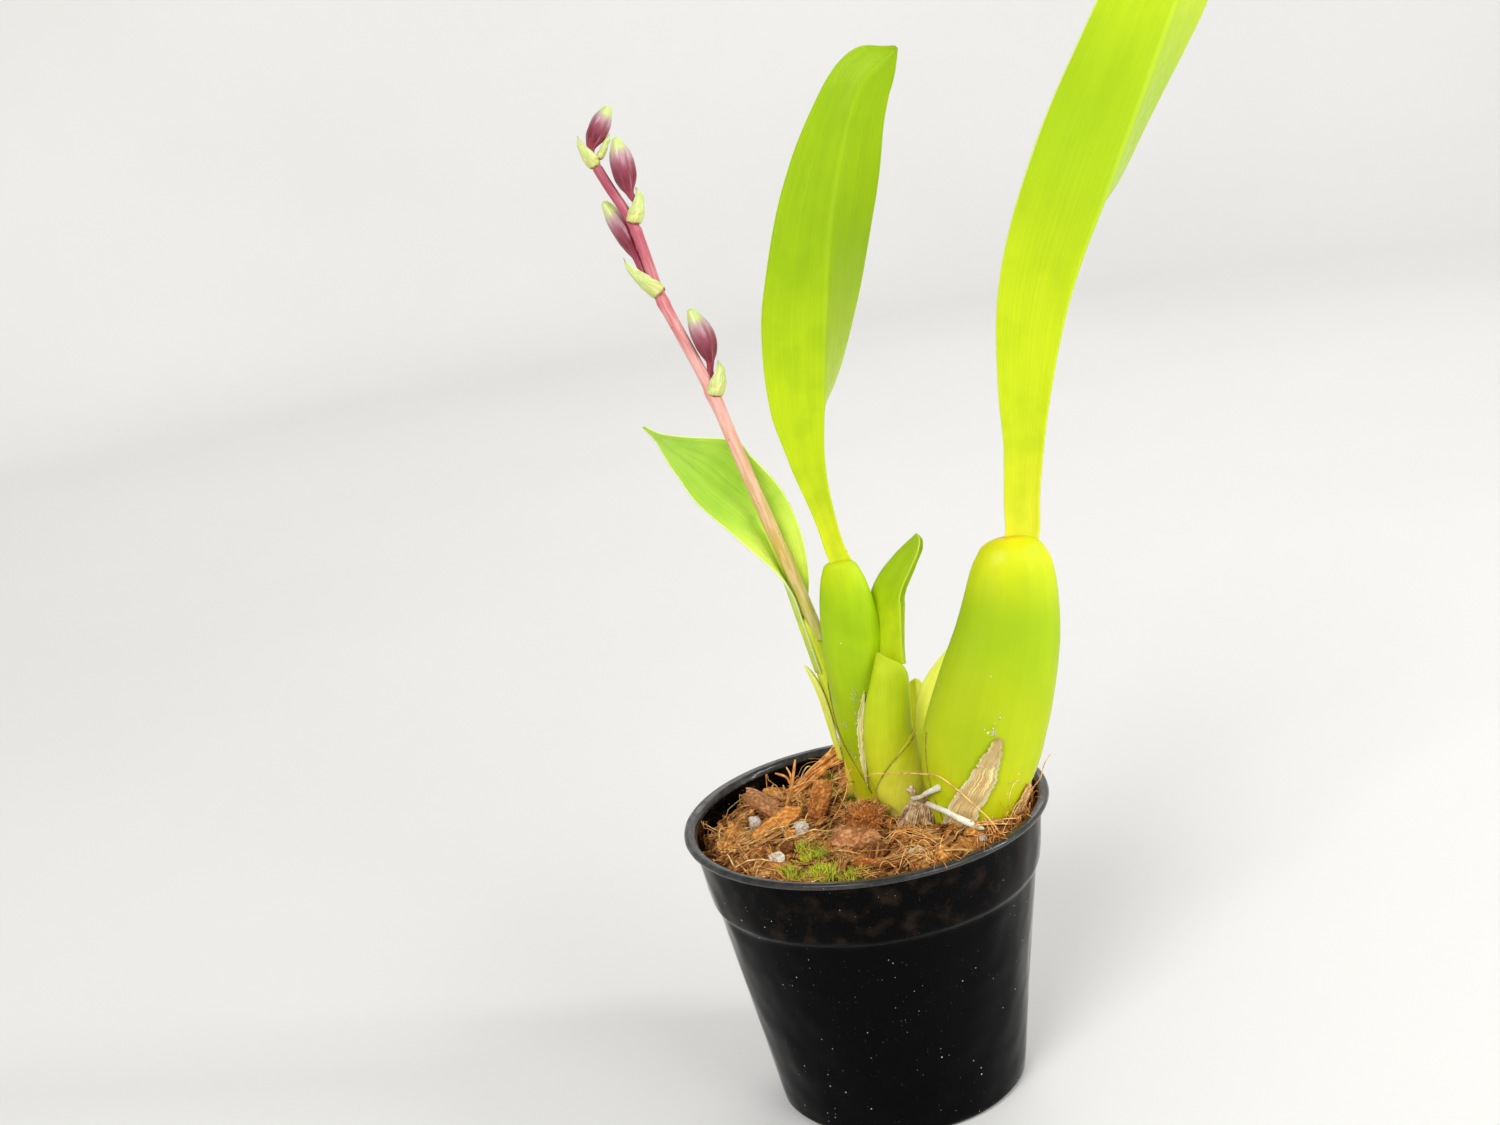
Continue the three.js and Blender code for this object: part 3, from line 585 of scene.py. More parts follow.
bulb_tall_finish = plant_finish(
    "bulb_tall_green",
    [(0.0, (0.60, 0.50, 0.012)), (0.12, (0.52, 0.54, 0.006)), (0.3, (0.41, 0.49, 0.004)),
     (0.62, (0.33, 0.47, 0.003)), (0.88, (0.60, 0.64, 0.003)), (0.97, (0.66, 0.62, 0.004)),
     (1.0, (0.70, 0.40, 0.01))],
    ((0.32, 0.46, 0.003), 16.0, 0.4), lines=40, line_shade=0.03, speck=(0.74, 0.74, 0.3),
    speck_share=0.05, roughness=0.44)
bulb_middle_finish = plant_finish(
    "bulb_middle_green",
    [(0.0, (0.60, 0.52, 0.02)), (0.15, (0.56, 0.54, 0.008)), (0.35, (0.40, 0.53, 0.003)),
     (0.75, (0.36, 0.55, 0.002)), (0.97, (0.50, 0.62, 0.004)), (1.0, (0.55, 0.60, 0.01))],
    ((0.26, 0.42, 0.002), 12.0, 0.4), lines=36, line_shade=0.03, speck=(0.7, 0.70, 0.34),
    speck_share=0.06, roughness=0.42)
sheath_finish = plant_finish(
    "sheath_pale_green",
    [(0.0, (0.74, 0.62, 0.05)), (0.35, (0.56, 0.58, 0.012)), (0.8, (0.47, 0.58, 0.004)),
     (1.0, (0.52, 0.61, 0.01))],
    ((0.40, 0.50, 0.006), 7.0, 0.35), lines=60, rim=(0.34, 0.20, 0.05), margin=0.006, roughness=0.38)
low_sheath_finish = plant_finish(
    "sheath_yellow_green",
    [(0.0, (0.84, 0.80, 0.24)), (0.3, (0.74, 0.68, 0.06)), (0.8, (0.58, 0.60, 0.006)),
     (1.0, (0.60, 0.63, 0.012))],
    ((0.50, 0.52, 0.008), 7.0, 0.35), lines=60, rim=(0.34, 0.20, 0.05), margin=0.006, roughness=0.38)
# The back sheaths and the bract on the shoot are painted a near-white yellow: painted light for the light
# that comes through them.
back_sheath_through_light_finish = plant_finish(
    "sheath_back_yellow",
    [(0.0, (0.86, 0.84, 0.10)), (0.5, (0.95, 0.96, 0.13)), (1.0, (0.96, 0.97, 0.20))],
    ((0.70, 0.84, 0.06), 6.0, 0.35), lines=50, rim=(0.92, 0.94, 0.4), margin=0.03, glow=0.6)
shoot_finish = plant_finish(
    "shoot_pale",
    [(0.0, (0.74, 0.54, 0.09)), (0.3, (0.80, 0.66, 0.06)), (0.7, (0.76, 0.82, 0.05)),
     (1.0, (0.74, 0.78, 0.06))],
    ((0.56, 0.58, 0.05), 4.0, 0.45), lines=24, line_shade=0.1, speck=(0.4, 0.3, 0.12),
    speck_share=0.04, roughness=0.42, depth=0.05)
bract_finish = plant_finish(
    "bract_pale",
    [(0.0, (0.36, 0.03, 0.05)), (0.035, (0.40, 0.06, 0.07)), (0.08, (0.70, 0.68, 0.26)),
     (0.7, (0.74, 0.82, 0.34)), (1.0, (0.80, 0.86, 0.44))],
    ((0.60, 0.68, 0.22), 2.2, 0.6), lines=20, line_shade=0.2, rim=(0.82, 0.86, 0.58), margin=0.05,
    roughness=0.44, depth=0.1)
print("green finishes made:", len(bpy.data.materials))

# %% [markdown]
# ## Pseudobulbs
#
# A pseudobulb is a swollen stem that stores water. Its section is a flattened oval, its
# outline is that of a slender flask, and shallow grooves run up it. The formula is a ring at
# each share of the height: the middle line plus the cosine of the angle times the half width
# and the sine times the half depth. A small ripple in the radius gives the grooves.

# %% Round growths
def growth_rings(points, facing, wide, deep, rows, around, crowd=1.0, groove=0.0, ridges=9, rounded=0.02,
                 grain_seed=0, root=0.0):
    """Rings of an oval growth: middle line, plus cosine times half width, plus sine times half
    depth. Both change by groove times the cosine of ridges times the angle, and by noise, and
    close as a quarter circle over the rounded share at the top."""
    place, share, face, side = course(points, facing, crowded(rows, crowd), root)
    angle = ring_angles(around)
    close = 0.12 + 0.88 * np.sqrt(np.clip(1 - (np.clip(share - (1 - rounded), 0, 1) / rounded) ** 2, 0.0, 1))
    ripple = groove * np.cos(ridges * angle[None] + 1.5 * np.sin(5 * share[:, None] + grain_seed))
    slow = groove * soft_noise(angle[None] * 4 + 9 * grain_seed, share[:, None] * 26, 3.0, 5 + grain_seed)
    swell = (1 + ripple + slow) * close[:, None]
    across = np.cos(angle) * eased(wide, share)[:, None] * swell
    through = np.sin(angle) * eased(deep, share)[:, None] * swell
    return place[:, None] + across[..., None] * side[:, None] + through[..., None] * face[:, None]


def grow(name, finish, slot, *nodes, **shape):
    """Settles a round growth of that shape."""
    settle(round_mesh(name, growth_rings(**shape)), finish, slot, *nodes)


BULB_TALL = {
    "points": [[27, -14.5, 70], [28.3, -14, 82], [31.9, -13.2, 97], [37.6, -12.5, 112.7],
               [42.9, -11.9, 128], [45.9, -11.2, 143.5], [46.2, -11, 152.6]],
    "facing": [[0, -90], [1, -90]],
    "wide": [[0, 7.4], [0.14, 11.6], [0.3, 15.4], [0.45, 15.7], [0.63, 14.4], [0.81, 12.2],
             [0.92, 10.2], [0.97, 8.0], [1, 7.0]],
    "deep": [[0, 6], [0.2, 8.4], [0.4, 9], [0.7, 7.8], [0.93, 5.6], [1, 3.0]],
}
BULB_MIDDLE = {
    "points": [[2, 11.5, 70], [2, 11.5, 82.5], [2, 11, 96], [2.6, 10.4, 113], [3.1, 9.9, 129],
               [2.8, 9.3, 147.3]],
    "facing": [[0, -100], [0.5, -108], [1, -100]],
    "wide": [[0, 3.2], [0.16, 4.4], [0.29, 6], [0.5, 7.5], [0.7, 8.1], [0.82, 7.6], [0.93, 6], [1, 3.9]],
    "deep": [[0, 2.4], [0.3, 3.8], [0.6, 4.8], [0.85, 4.2], [1, 2.3]],
}
YOUNG_LINE = [[9.9, -1.5, 70], [9.8, -1, 82], [8.9, 0.5, 92.5], [9.4, 1.7, 104], [11.4, 3.3, 113.5]]
BULB_YOUNG = {
    "points": [*YOUNG_LINE, [12.2, 4.4, 117.6]],
    "facing": [[0, -90], [1, -90]],
    "wide": [[0, 1.6], [0.2, 3.7], [0.32, 5.4], [0.45, 6.0], [0.6, 5.7], [0.8, 4.7], [1, 3.1]],
    "deep": [[0, 2.4], [0.3, 3.8], [0.7, 3.2], [1, 1.8]],
}
grow("pseudobulb_tall", bulb_tall_finish, "bulb_green", "bulb_tall", **BULB_TALL,
     rows=140, around=104, crowd=1.4, groove=0.003, ridges=11, rounded=0.035, grain_seed=1)
grow("pseudobulb_middle", bulb_middle_finish, "bulb_green", "bulb_middle", **BULB_MIDDLE,
     rows=130, around=88, crowd=1.2, groove=0.004, rounded=0.02, grain_seed=2)
grow("pseudobulb_young", sheath_finish, "bulb_green", "bulb_young", **BULB_YOUNG,
     rows=90, around=64, groove=0.005, ridges=8, rounded=0.03, grain_seed=3)

# %% [markdown]
# ## Leaves
#
# These leaves grow folded along the midrib, like a book: tight at the foot, where they make a
# stalk, and opening towards the tip. Across the leaf each half starts steep at the keel and
# flattens outwards. With the slope angle falling evenly from the keel to the margin, the
# place across is the integral of the cosine of that angle, and the rise is the integral of
# its sine, which both have a closed form. The second face lies a leaf's thickness inside.

# %% Folded blades
NOTCH_FROM = 0.88
KEEL_RADIUS = 0.5


def blade_faces(points, facing, half, fold, rows, across, crowd=1.0, thick=1.1, edge=0.5, far=1.0,
                arch=0.1, ripple=0.0, tip=0.02, blunt=0.0, lobe=0.0, ripple_seed=0, root=0.0):
    """Outer and inner face of a folded blade. Slope angle at a reach r of the half width:
    fold times (1 + arch / 2 - arch * r); place and rise are its cosine's and sine's integrals.
    Near the tip the half width follows a quarter circle down to the blunt share, and both
    halves run ahead of the midrib by lobe times 4r(1 - r), which leaves a notch."""
    place, share, face, side = course(points, facing, crowded(rows, crowd), root)
    reach = np.linspace(-1, 1, 2 * across + 1)
    reach = np.sign(reach) * np.abs(reach) ** 0.85
    r = np.abs(reach)[None]
    at_tip = np.clip((share - (1 - tip)) / tip, 0, 1)
    round_tip = blunt + (1 - blunt) * np.sqrt(np.clip(1 - at_tip**2, 0, 1))
    far_share = eased(far, share) if np.ndim(far) else np.full(len(share), far)
    width = np.maximum(eased(half, share) * round_tip, 0.12)[:, None]
    width = width * np.where(reach < 0, far_share[:, None], 1.0)
    tilt = np.radians(eased(fold, share))[:, None]
    first, fall = tilt * (1 + arch / 2), tilt * arch
    slope = first - fall * r
    x = width * (np.sin(first) - np.sin(slope)) / fall
    z = width * (np.cos(slope) - np.cos(first)) / fall
    rounding = np.minimum(KEEL_RADIUS, width * 0.3)
    z = np.sqrt(z**2 + rounding**2) - rounding
    wave = soft_noise(share[:, None] * 30 + 7 * ripple_seed, reach[None] * 2, 5.0, 20 + ripple_seed)
    z = z + ripple * wave * r**1.5
    body = np.minimum(edge + (thick - edge) * (1 - r) ** 1.3, width * 0.6 + 0.1)
    inner_x = np.maximum(x - body * np.sin(slope), 0.03 * r)
    inner_z = z + body * np.cos(slope) + body * 0.35 * np.exp(-((r * width) / 0.8) ** 2)
    hand = np.sign(reach)[None]
    ahead = np.cross(face, side)
    late = np.clip((share - NOTCH_FROM) / (1 - NOTCH_FROM), 0, 1) ** 2
    forward = lobe * 4 * r * (1 - r) * late[:, None]

    def at(a, b):
        return (place[:, None] + (hand * a)[..., None] * side[:, None] + b[..., None] * face[:, None]
                + forward[..., None] * ahead[:, None])

    return at(x, z), at(inner_x, inner_z)


def blade(name, finish, slot, *nodes, **shape):
    """Settles a folded blade of that shape."""
    settle(two_faced_mesh(name, *blade_faces(**shape)), finish, slot, *nodes)


print("blade helpers ready")

# %% [markdown]
# ## Four leaves
#
# Each leaf has its own middle line, and along it the way it faces, its half width and how
# steeply it is folded. The fold opens towards the tip. One half may be narrower than the
# other, as in the low leaf, whose far half turns away.

# %% The leaves
blade("leaf_tall_blade", leaf_tall_finish, "leaf_green", "leaf_tall",
      points=[[53.2, -11.1, 149.2], [54.3, -10.9, 153.8], [55.3, -10.7, 162], [60.6, -10, 185.7],
              [68.6, -9.2, 210], [79.6, -8.5, 232.6], [91, -7.7, 255], [102, -7, 277], [116.1, -5.5, 303],
              [135.6, -4, 326.3]],
      facing=[[0, 172], [0.12, 168], [0.25, 156], [0.45, 136], [0.7, 131], [1, 124]],
      half=[[0, 9], [0.12, 10.5], [0.19, 13.6], [0.31, 18.6], [0.45, 21.7], [0.6, 20.8], [0.75, 18.3],
            [0.88, 14.4], [0.96, 8.6], [1, 4.5]],
      fold=[[0, 79], [0.12, 77], [0.25, 65], [0.35, 51], [0.45, 36], [0.55, 32], [0.7, 22], [1, 16]],
      rows=250, across=26, crowd=1.15, ripple=0.15, ripple_seed=1, tip=0.03, blunt=0.3, lobe=1.6, root=6)
blade("leaf_middle_blade", leaf_middle_finish, "leaf_green", "leaf_middle",
      points=[[5.7, 9.2, 148.2], [4.8, 9.2, 151], [3.9, 9.3, 156], [2.9, 9.3, 172.6], [5.1, 9.3, 191.5],
              [9.3, 9.3, 216.4], [14.6, 9.3, 241], [25.6, 9.3, 268], [34.2, 9.3, 274.9]],
      facing=[[0, 172], [0.12, 166], [0.22, 144], [0.33, 127], [0.5, 112], [0.75, 93], [1, 84]],
      half=[[0, 6], [0.06, 5.8], [0.13, 7.3], [0.21, 10.5], [0.29, 14.2], [0.45, 17], [0.55, 16.5],
            [0.75, 13.4], [0.86, 10.35], [0.94, 8.0], [0.98, 5.65], [1, 3.5]],
      fold=[[0, 77], [0.13, 75], [0.22, 59], [0.33, 41], [0.5, 35], [0.75, 26], [1, 18]],
      rows=215, across=24, crowd=1.15, far=0.92, ripple=0.12, ripple_seed=2, tip=0.05, blunt=0.14,
      lobe=1.5, root=5)
blade("leaf_young_blade", leaf_young_finish, "leaf_green", "leaf_young",
      points=[[9.5, 6.0, 116.3], [8.6, 8.4, 123], [8.5, 10.4, 129], [9.5, 12.0, 135.3], [12.3, 12.8, 140.3],
              [17.7, 12.9, 145.8], [24.1, 12.2, 150.8]],
      facing=[[0, -6], [1, -14]],
      half=[[0, 8.0], [0.2, 9.9], [0.42, 10.8], [0.56, 10.3], [0.72, 9.3], [0.88, 7.2], [1, 4.6]],
      fold=[[0, 62], [0.5, 60], [1, 47]],
      rows=130, across=16, crowd=1.1, ripple=0.1, ripple_seed=3, tip=0.08, blunt=0.45)
blade("leaf_low_blade", leaf_low_finish, "leaf_low_green", "leaf_low",
      points=[[-11.2, 17, 131.4], [-13.8, 17, 145.5], [-18.8, 16.5, 161.7], [-27.7, 16, 171.7],
              [-34.6, 15, 180.4], [-43.1, 14, 189.8]],
      facing=[[0, -20], [0.2, -50], [0.42, -72], [0.7, -78], [1, -80]],
      half=[[0, 4.0], [0.15, 7.7], [0.3, 10.6], [0.45, 11.9], [0.6, 14.2], [0.72, 14.5], [0.84, 6.6],
            [0.92, 2.3], [0.97, 1.0], [1, 0.9]],
      fold=[[0, 54], [0.25, 51.5], [0.5, 32.5], [1, 30]],
      far=[[0, 0.86], [0.2, 0.9], [0.4, 0.86], [0.6, 0.59], [0.75, 0.46], [0.85, 0.66], [0.93, 0.71],
           [1, 0.74]],
      rows=170, across=20, thick=0.8, ripple=0.15, ripple_seed=4, tip=0.02, blunt=0.5, root=17)

# %% [markdown]
# ## Sheaths
#
# Each new growth is wrapped in sheaths, which are leaf bases without a blade. They follow the
# skin of the bulb below them, so the same rings serve again: the sheath is the part of a
# bulb's skin between two angles, moved out by a small gap. A margin that wanders a little and
# thins to a quarter looks grown rather than cut.

# %% Wraps on a growth
def wrap_faces(growth, span, from_angle, to_angle, rows, across, gap=0.4, thick=0.6, lift=0.0,
               ragged=0.0, wander=0.0, seed=0):
    """Outer and inner face of a growth's skin between two angles: middle line, plus cosine times
    (half width + off), plus sine times (half depth + off), where off is the gap and, for the
    outer face, the thickness. With q across from 0 to 1, the rim is |2q - 1| to the fourth
    power; there the gap grows by lift and the thickness falls to a quarter. Noise moves the
    margins by ragged degrees and the skin by wander millimetres."""
    step = crowded(rows)
    share = span[0] + (span[1] - span[0]) * step
    place, share, face, side = course(growth["points"], growth["facing"], share)

    def fray(margin):
        coarse = soft_noise(step * 60 + 31 * margin, step * 0 + seed, 1.6, 40 + seed + margin)
        fine = soft_noise(step * 60, step * 0 + 5 * margin, 0.55, 50 + seed + margin)
        return ragged * (coarse + 0.6 * fine)

    a, b = eased(from_angle, step) + fray(1), eased(to_angle, step) + fray(2)
    q = np.linspace(0, 1, across + 1)[None]
    angle = np.radians(a[:, None] + (b - a)[:, None] * q)
    rim = np.abs(2 * q - 1) ** 4
    ends = np.minimum(1, 0.25 + 6 * (1 - step)) * np.minimum(1, 0.35 + 6 * step)
    body = thick * (1 - 0.75 * rim) * ends[:, None]
    off = gap + lift * rim + wander * soft_noise(q * 9 + seed, step[:, None] * 30, 2.6, 60 + seed)

    def skin(extra):
        across_by = np.cos(angle) * (eased(growth["wide"], share)[:, None] + off + extra)
        through_by = np.sin(angle) * (eased(growth["deep"], share)[:, None] + off + extra)
        return place[:, None] + across_by[..., None] * side[:, None] + through_by[..., None] * face[:, None]

    return skin(body), skin(body * 0)


def wrap(name, finish, slot, *nodes, **shape):
    """Settles a wrap of that shape."""
    settle(two_faced_mesh(name, *wrap_faces(**shape)), finish, slot, *nodes)


wrap("sheath_front", sheath_finish, "sheath_green", "sheath_young_front",
     growth={**BULB_YOUNG, "points": [*YOUNG_LINE, [12.4, 4.6, 121.6]]}, span=(0.12, 1.0),
     from_angle=[[0, -8], [0.84, -4], [0.93, 40], [1, 138]], to_angle=[[0, 190], [0.85, 186], [1, 160]],
     rows=130, across=40, gap=0.5, thick=0.65, ragged=0.8, wander=0.1, seed=1)
wrap("sheath_low", low_sheath_finish, "sheath_green", "sheath_young_low",
     growth=BULB_YOUNG, span=(0.12, 0.65), from_angle=[[0, -16], [1, -6]],
     to_angle=[[0, 168], [0.38, 150], [0.55, 117], [0.74, 81], [0.92, 44], [1, 8]],
     rows=110, across=34, gap=1.3, ragged=1.2, wander=0.1, seed=2)

# %% [markdown]
# ## Back sheaths, shoot and its bract
#
# Behind the bulbs stand two pale sheaths with nothing inside them and the round shoot that
# carries the low leaf. The sheaths and the bract are nearly flat blades, so they need no new
# formula: a blade with a small fold is a sheath.

# %% Behind the bulbs
blade("sheath_back_broad", back_sheath_through_light_finish, "sheath_green", "sheath_back_one",
      points=[[19, 8.5, 72], [20.5, 9, 90], [23, 9.5, 106], [29.8, 10, 118.8]],
      facing=[[0, -90], [1, -80]], fold=[[0, 8], [1, 14]],
      half=[[0, 2.8], [0.3, 4.8], [0.6, 5.2], [0.8, 4], [0.95, 2], [1, 1.2]],
      rows=80, across=14, thick=0.65, edge=0.3, ripple=0.25, ripple_seed=5)
blade("sheath_back_slim", back_sheath_through_light_finish, "sheath_green", "sheath_back_two",
      points=[[17.6, 13.5, 73], [17.8, 13.5, 95], [18.6, 13, 110.3]],
      facing=[[0, -90], [1, -90]], fold=[[0, 10], [1, 16]],
      half=[[0, 2], [0.5, 2.8], [0.88, 2.7], [1, 1.6]],
      rows=70, across=12, thick=0.65, edge=0.3, ripple=0.2, ripple_seed=6, tip=0.05)
grow("shoot", shoot_finish, "shoot_green", "shoot_stem",
     points=[[-1.8, 17, 71], [-2, 16.8, 84], [-2.3, 16.9, 93], [-4.4, 17, 106], [-6.6, 17, 121],
             [-8.9, 16.9, 131.2]],
     facing=[[0, -90], [1, -90]], wide=[[0, 2.2], [0.35, 1.8], [0.6, 2], [0.85, 2.3], [1, 2.6]],
     deep=[[0, 2], [0.35, 1.8], [0.6, 1.8], [1, 2.2]],
     rows=120, around=40, groove=0.015, ridges=7, rounded=0.06, grain_seed=4)
blade("bract_on_shoot", back_sheath_through_light_finish, "bract_green", "bract_low",
      points=[[-5.3, 16.5, 88.5], [-6.8, 16.5, 98], [-8.4, 16.4, 108], [-10.9, 16.1, 117.6]],
      facing=[[0, 0], [1, 0]], fold=[[0, 60], [1, 50]],
      half=[[0, 1.8], [0.4, 2.8], [0.75, 2.9], [0.92, 1.9], [1, 0.5]],
      rows=60, across=10, thick=0.6, edge=0.25, arch=-0.5, tip=0.03)

# %% [markdown]
# ## Dry sheaths
#
# Old sheaths turn to paper: tan, thin, split along their grain and ragged at the edge. The
# margins get two sizes of noise, the blade waves a little off the bulb, and the finish is made
# of fine lengthwise fibres with pale specks.

# %% Papery sheaths
def paper_finish(name, dark, light, rim_colour, across=46.0, depth=0.25):
    """Dry paper: fine fibres from dark to light along the sheath, a pale margin, pale dots."""
    material, tree, shader, surface, place = start_finish(name)
    fibres = mask_of(tree, lengthwise, surface, Across=across, Along=2.6, Low=0.36, High=0.62)
    broad = mask_of(tree, lengthwise, surface, Across=across / 4, Along=1.6)
    dots = mask_of(tree, specks, place, Spacing=0.9, Size=0.2, Share=0.3)
    colour = tinted(tree, fibres, dark, light)
    colour = layered(tree, colour, (broad, times(tree, colour, (1.15, 1.1, 1.02))),
                     (mask_of(tree, edge_band, surface, Width=0.16), rim_colour),
                     (dots, (0.82, 0.74, 0.58)))
    dress(tree, shader, colour, Roughness=0.7, Subsurface_Weight=0.2, Subsurface_Scale=0.001)
    raise_surface(tree, shader, fibres, depth)
    return material


tan_paper = paper_finish("dry_paper", (0.56, 0.34, 0.10), (0.92, 0.72, 0.34), (0.92, 0.80, 0.44))
pale_paper = paper_finish("dry_paper_pale", (0.60, 0.52, 0.14), (0.90, 0.84, 0.40), (0.94, 0.90, 0.54),
                          across=6.0, depth=0.05)
brown_paper = paper_finish("dry_paper_brown", (0.34, 0.15, 0.04), (0.70, 0.42, 0.16), (0.74, 0.50, 0.22),
                           across=14.0, depth=0.1)
wrap("dry_sheath_front", tan_paper, "dry_sheath", "dry_sheath_tall", growth=BULB_TALL, span=(0.07, 0.405),
     from_angle=[[0, 100], [0.2, 92], [0.55, 78], [0.87, 77], [1, 81]],
     to_angle=[[0, 146], [0.2, 132], [0.55, 106], [0.87, 90], [1, 85]],
     rows=220, across=36, gap=0.35, thick=0.4, lift=0.7, ragged=1.5, wander=0.35, seed=3)
wrap("dry_sheath_side", pale_paper, "dry_sheath", "dry_sheath_middle",
     growth={**BULB_MIDDLE, "facing": [[0, -104], [1, -104]]}, span=(0.17, 0.54),
     from_angle=[[0, 84], [0.5, 75], [1, 67]], to_angle=[[0, 86], [0.3, 93], [0.7, 87], [1, 70]],
     rows=160, across=12, gap=0.5, thick=0.4, lift=0.2, ragged=2.0, wander=0.3, seed=4)
wrap("dry_scale_right", brown_paper, "dry_sheath", growth=BULB_TALL, span=(0.12, 0.25),
     from_angle=[[0, 18], [0.5, 24], [1, 30]], to_angle=[[0, 46], [0.5, 40], [1, 34]],
     rows=70, across=18, thick=0.4, lift=0.9, ragged=1.5, wander=0.35, seed=5)

# %% [markdown]
# ## Flower stem
#
# The flower stem is a thin round stalk that zigzags a little from node to node and thickens at
# each one. It is a growth like the bulbs, with the same half width and half depth. Its colour
# goes from green at the foot through pink to dark red, with pale lines and dark dots.

# %% Stem
stem_finish, tree, shader, surface, place = start_finish("stem_pink_skin")
along = parts_of(tree, surface)[1]
colour = colour_ramp(tree, along, [
    (0.0, (0.50, 0.54, 0.05)), (0.08, (0.50, 0.46, 0.05)), (0.2, (0.53, 0.38, 0.06)),
    (0.36, (0.62, 0.38, 0.17)), (0.5, (0.72, 0.33, 0.27)), (0.72, (0.55, 0.15, 0.17)),
    (0.86, (0.42, 0.06, 0.11)), (1.0, (0.36, 0.05, 0.09))])
fine = mask_of(tree, lengthwise, surface, Across=12.0, Along=16.0)
colour = layered(tree, colour,
                 (product(tree, fine, between(tree, along, 0.6, 0.88, 0.4, 0.1)), (0.88, 0.60, 0.50)),
                 (mask_of(tree, specks, place, Spacing=1.0, Size=0.16, Share=0.22), (0.2, 0.05, 0.06)))
dress(tree, shader, colour, Roughness=0.36, Subsurface_Weight=0.2, Subsurface_Radius=(1.0, 0.4, 0.3),
      Subsurface_Scale=0.001)
raise_surface(tree, shader, fine, 0.06)

STEM_LINE = [[-7.13, 15.4, 131.9], [-10.19, 13.2, 144.4], [-14.23, 10.4, 160.4], [-19.18, 7.6, 180.6],
             [-23.27, 8, 196.6], [-30.76, 8, 218.3], [-32.68, 8, 224], [-36.41, 7.8, 242.6],
             [-41.12, 7.6, 253.6], [-43.3, 7.5, 258.9]]
STEM_RADIUS = [[0, 1.75], [0.1, 1.85], [0.3, 1.8], [0.46, 1.7], [0.5, 1.95], [0.515, 1.95],
               [0.525, 1.65], [0.55, 1.55], [0.69, 1.55], [0.71, 1.75], [0.72, 1.55], [0.84, 1.45],
               [0.855, 1.6], [0.865, 1.35], [1, 1.3]]
grow("flower_stalk", stem_finish, "stem_pink", "flower_stem", points=STEM_LINE, facing=[[0, 0], [1, 0]],
     wide=STEM_RADIUS, deep=STEM_RADIUS, rows=260, around=28, groove=0.006, ridges=6, rounded=0.01,
     grain_seed=6, root=8)

# %% [markdown]
# ## Bracts
#
# A bract clasps the stem at each bud like a small sleeve that opens upwards. So it is a wrap
# that goes nearly all the way round at the foot and less than a third of the way at the point.

# %% Bracts on the stem
NUMBERS = ["one", "two", "three", "four", "five"]
BRACTS = [
    ([[-23.0, 8.0, 196.2], [-22.1, 8.1, 199.4], [-21.2, 8.2, 202.4], [-20.8, 8.3, 205.3]], -30, 2.05, 2.4),
    ([[-32.3, 8.0, 224.2], [-34.8, 8.0, 227.6], [-37.6, 8.0, 231.2], [-40.2, 7.9, 234.9]], 208, 1.85, 2.05),
    ([[-36.2, 7.8, 243.0], [-35.3, 7.8, 246.2], [-34.4, 7.8, 249.0], [-34.4, 7.9, 251.8]], -30, 1.75, 2.1),
    ([[-43.2, 7.6, 258.2], [-44.2, 7.6, 261.2], [-45.3, 7.6, 263.9], [-46.3, 7.6, 266.6]], 208, 1.4, 1.8),
    ([[-42.0, 7.5, 260.0], [-40.6, 7.4, 262.8], [-38.6, 7.4, 266.0]], -30, 0.6, 0.85),
]
for number, (points, out, foot, broad) in zip(NUMBERS, BRACTS):
    half = [[0, foot - 0.3], [0.06, foot], [0.35, broad], [0.7, 0.72 * broad], [1, 0.2]]
    wrap(f"bud_bract_{number}", bract_finish, "bract_green", f"bract_{number}",
         growth={"points": points, "facing": [[0, out], [1, out]], "wide": half, "deep": half}, span=(0, 1),
         from_angle=[[0, -88], [0.12, -84], [0.35, -20], [0.7, 10], [1, 40]],
         to_angle=[[0, 268], [0.12, 264], [0.35, 200], [0.7, 170], [1, 140]],
         rows=56, across=26, gap=0.0, thick=0.4, wander=0.12, seed=6)

# %% [markdown]
# ## Buds
#
# A closed bud is three sepals pressed together, so its section is a rounded triangle with a groove where two
# sepals meet. Its finish is dark red with pale stripes low down, a pale band higher up that is partly the
# bud's bloom and partly a painted sheen, and a green tip.

# %% Bud finish
bud_finish, tree, shader, surface, place = start_finish("bud_dark_red")
along = parts_of(tree, surface)[1]
colour = colour_ramp(tree, along, [
    (0.0, (0.42, 0.06, 0.11)), (0.3, (0.26, 0.015, 0.04)), (0.45, (0.15, 0.006, 0.018)),
    (0.56, (0.23, 0.025, 0.05)), (0.66, (0.31, 0.09, 0.12)), (0.76, (0.38, 0.20, 0.22)),
    (0.83, (0.48, 0.40, 0.26)), (0.87, (0.52, 0.66, 0.20)), (1.0, (0.60, 0.80, 0.16))])
stripes = mask_of(tree, lengthwise, surface, Across=30.0, Along=1.6, Low=0.56, High=0.64)
# The pale band higher up is partly the bud's bloom and partly a painted sheen.
bloom_and_sheen = mask_of(tree, lengthwise, surface, Across=7.0, Along=2.0, Low=0.44, High=0.62)
shade = mask_of(tree, lengthwise, surface, Across=13.0, Along=1.2, Low=0.5, High=0.62)
colour = layered(tree, colour,
                 (product(tree, stripes, between(tree, along, 0.54, 0.38, 0.0, 0.75)), (0.90, 0.42, 0.48)),
                 (product(tree, bloom_and_sheen, between(tree, along, 0.60, 0.76, 0.0, 0.4)), (0.64, 0.42, 0.46)),
                 (product(tree, shade, between(tree, along, 0.8, 0.6, 0.0, 0.6)), (0.22, 0.05, 0.08)))
dress(tree, shader, colour, Roughness=0.26)
raise_surface(tree, shader, stripes, 0.06)
print("bud finish made")

# %% [markdown]
# ## Four buds
#
# Each bud follows its own bent line out of its bract. Its radius comes from a profile along
# that line, times a swelling round the angle that gives it three rounded corners.

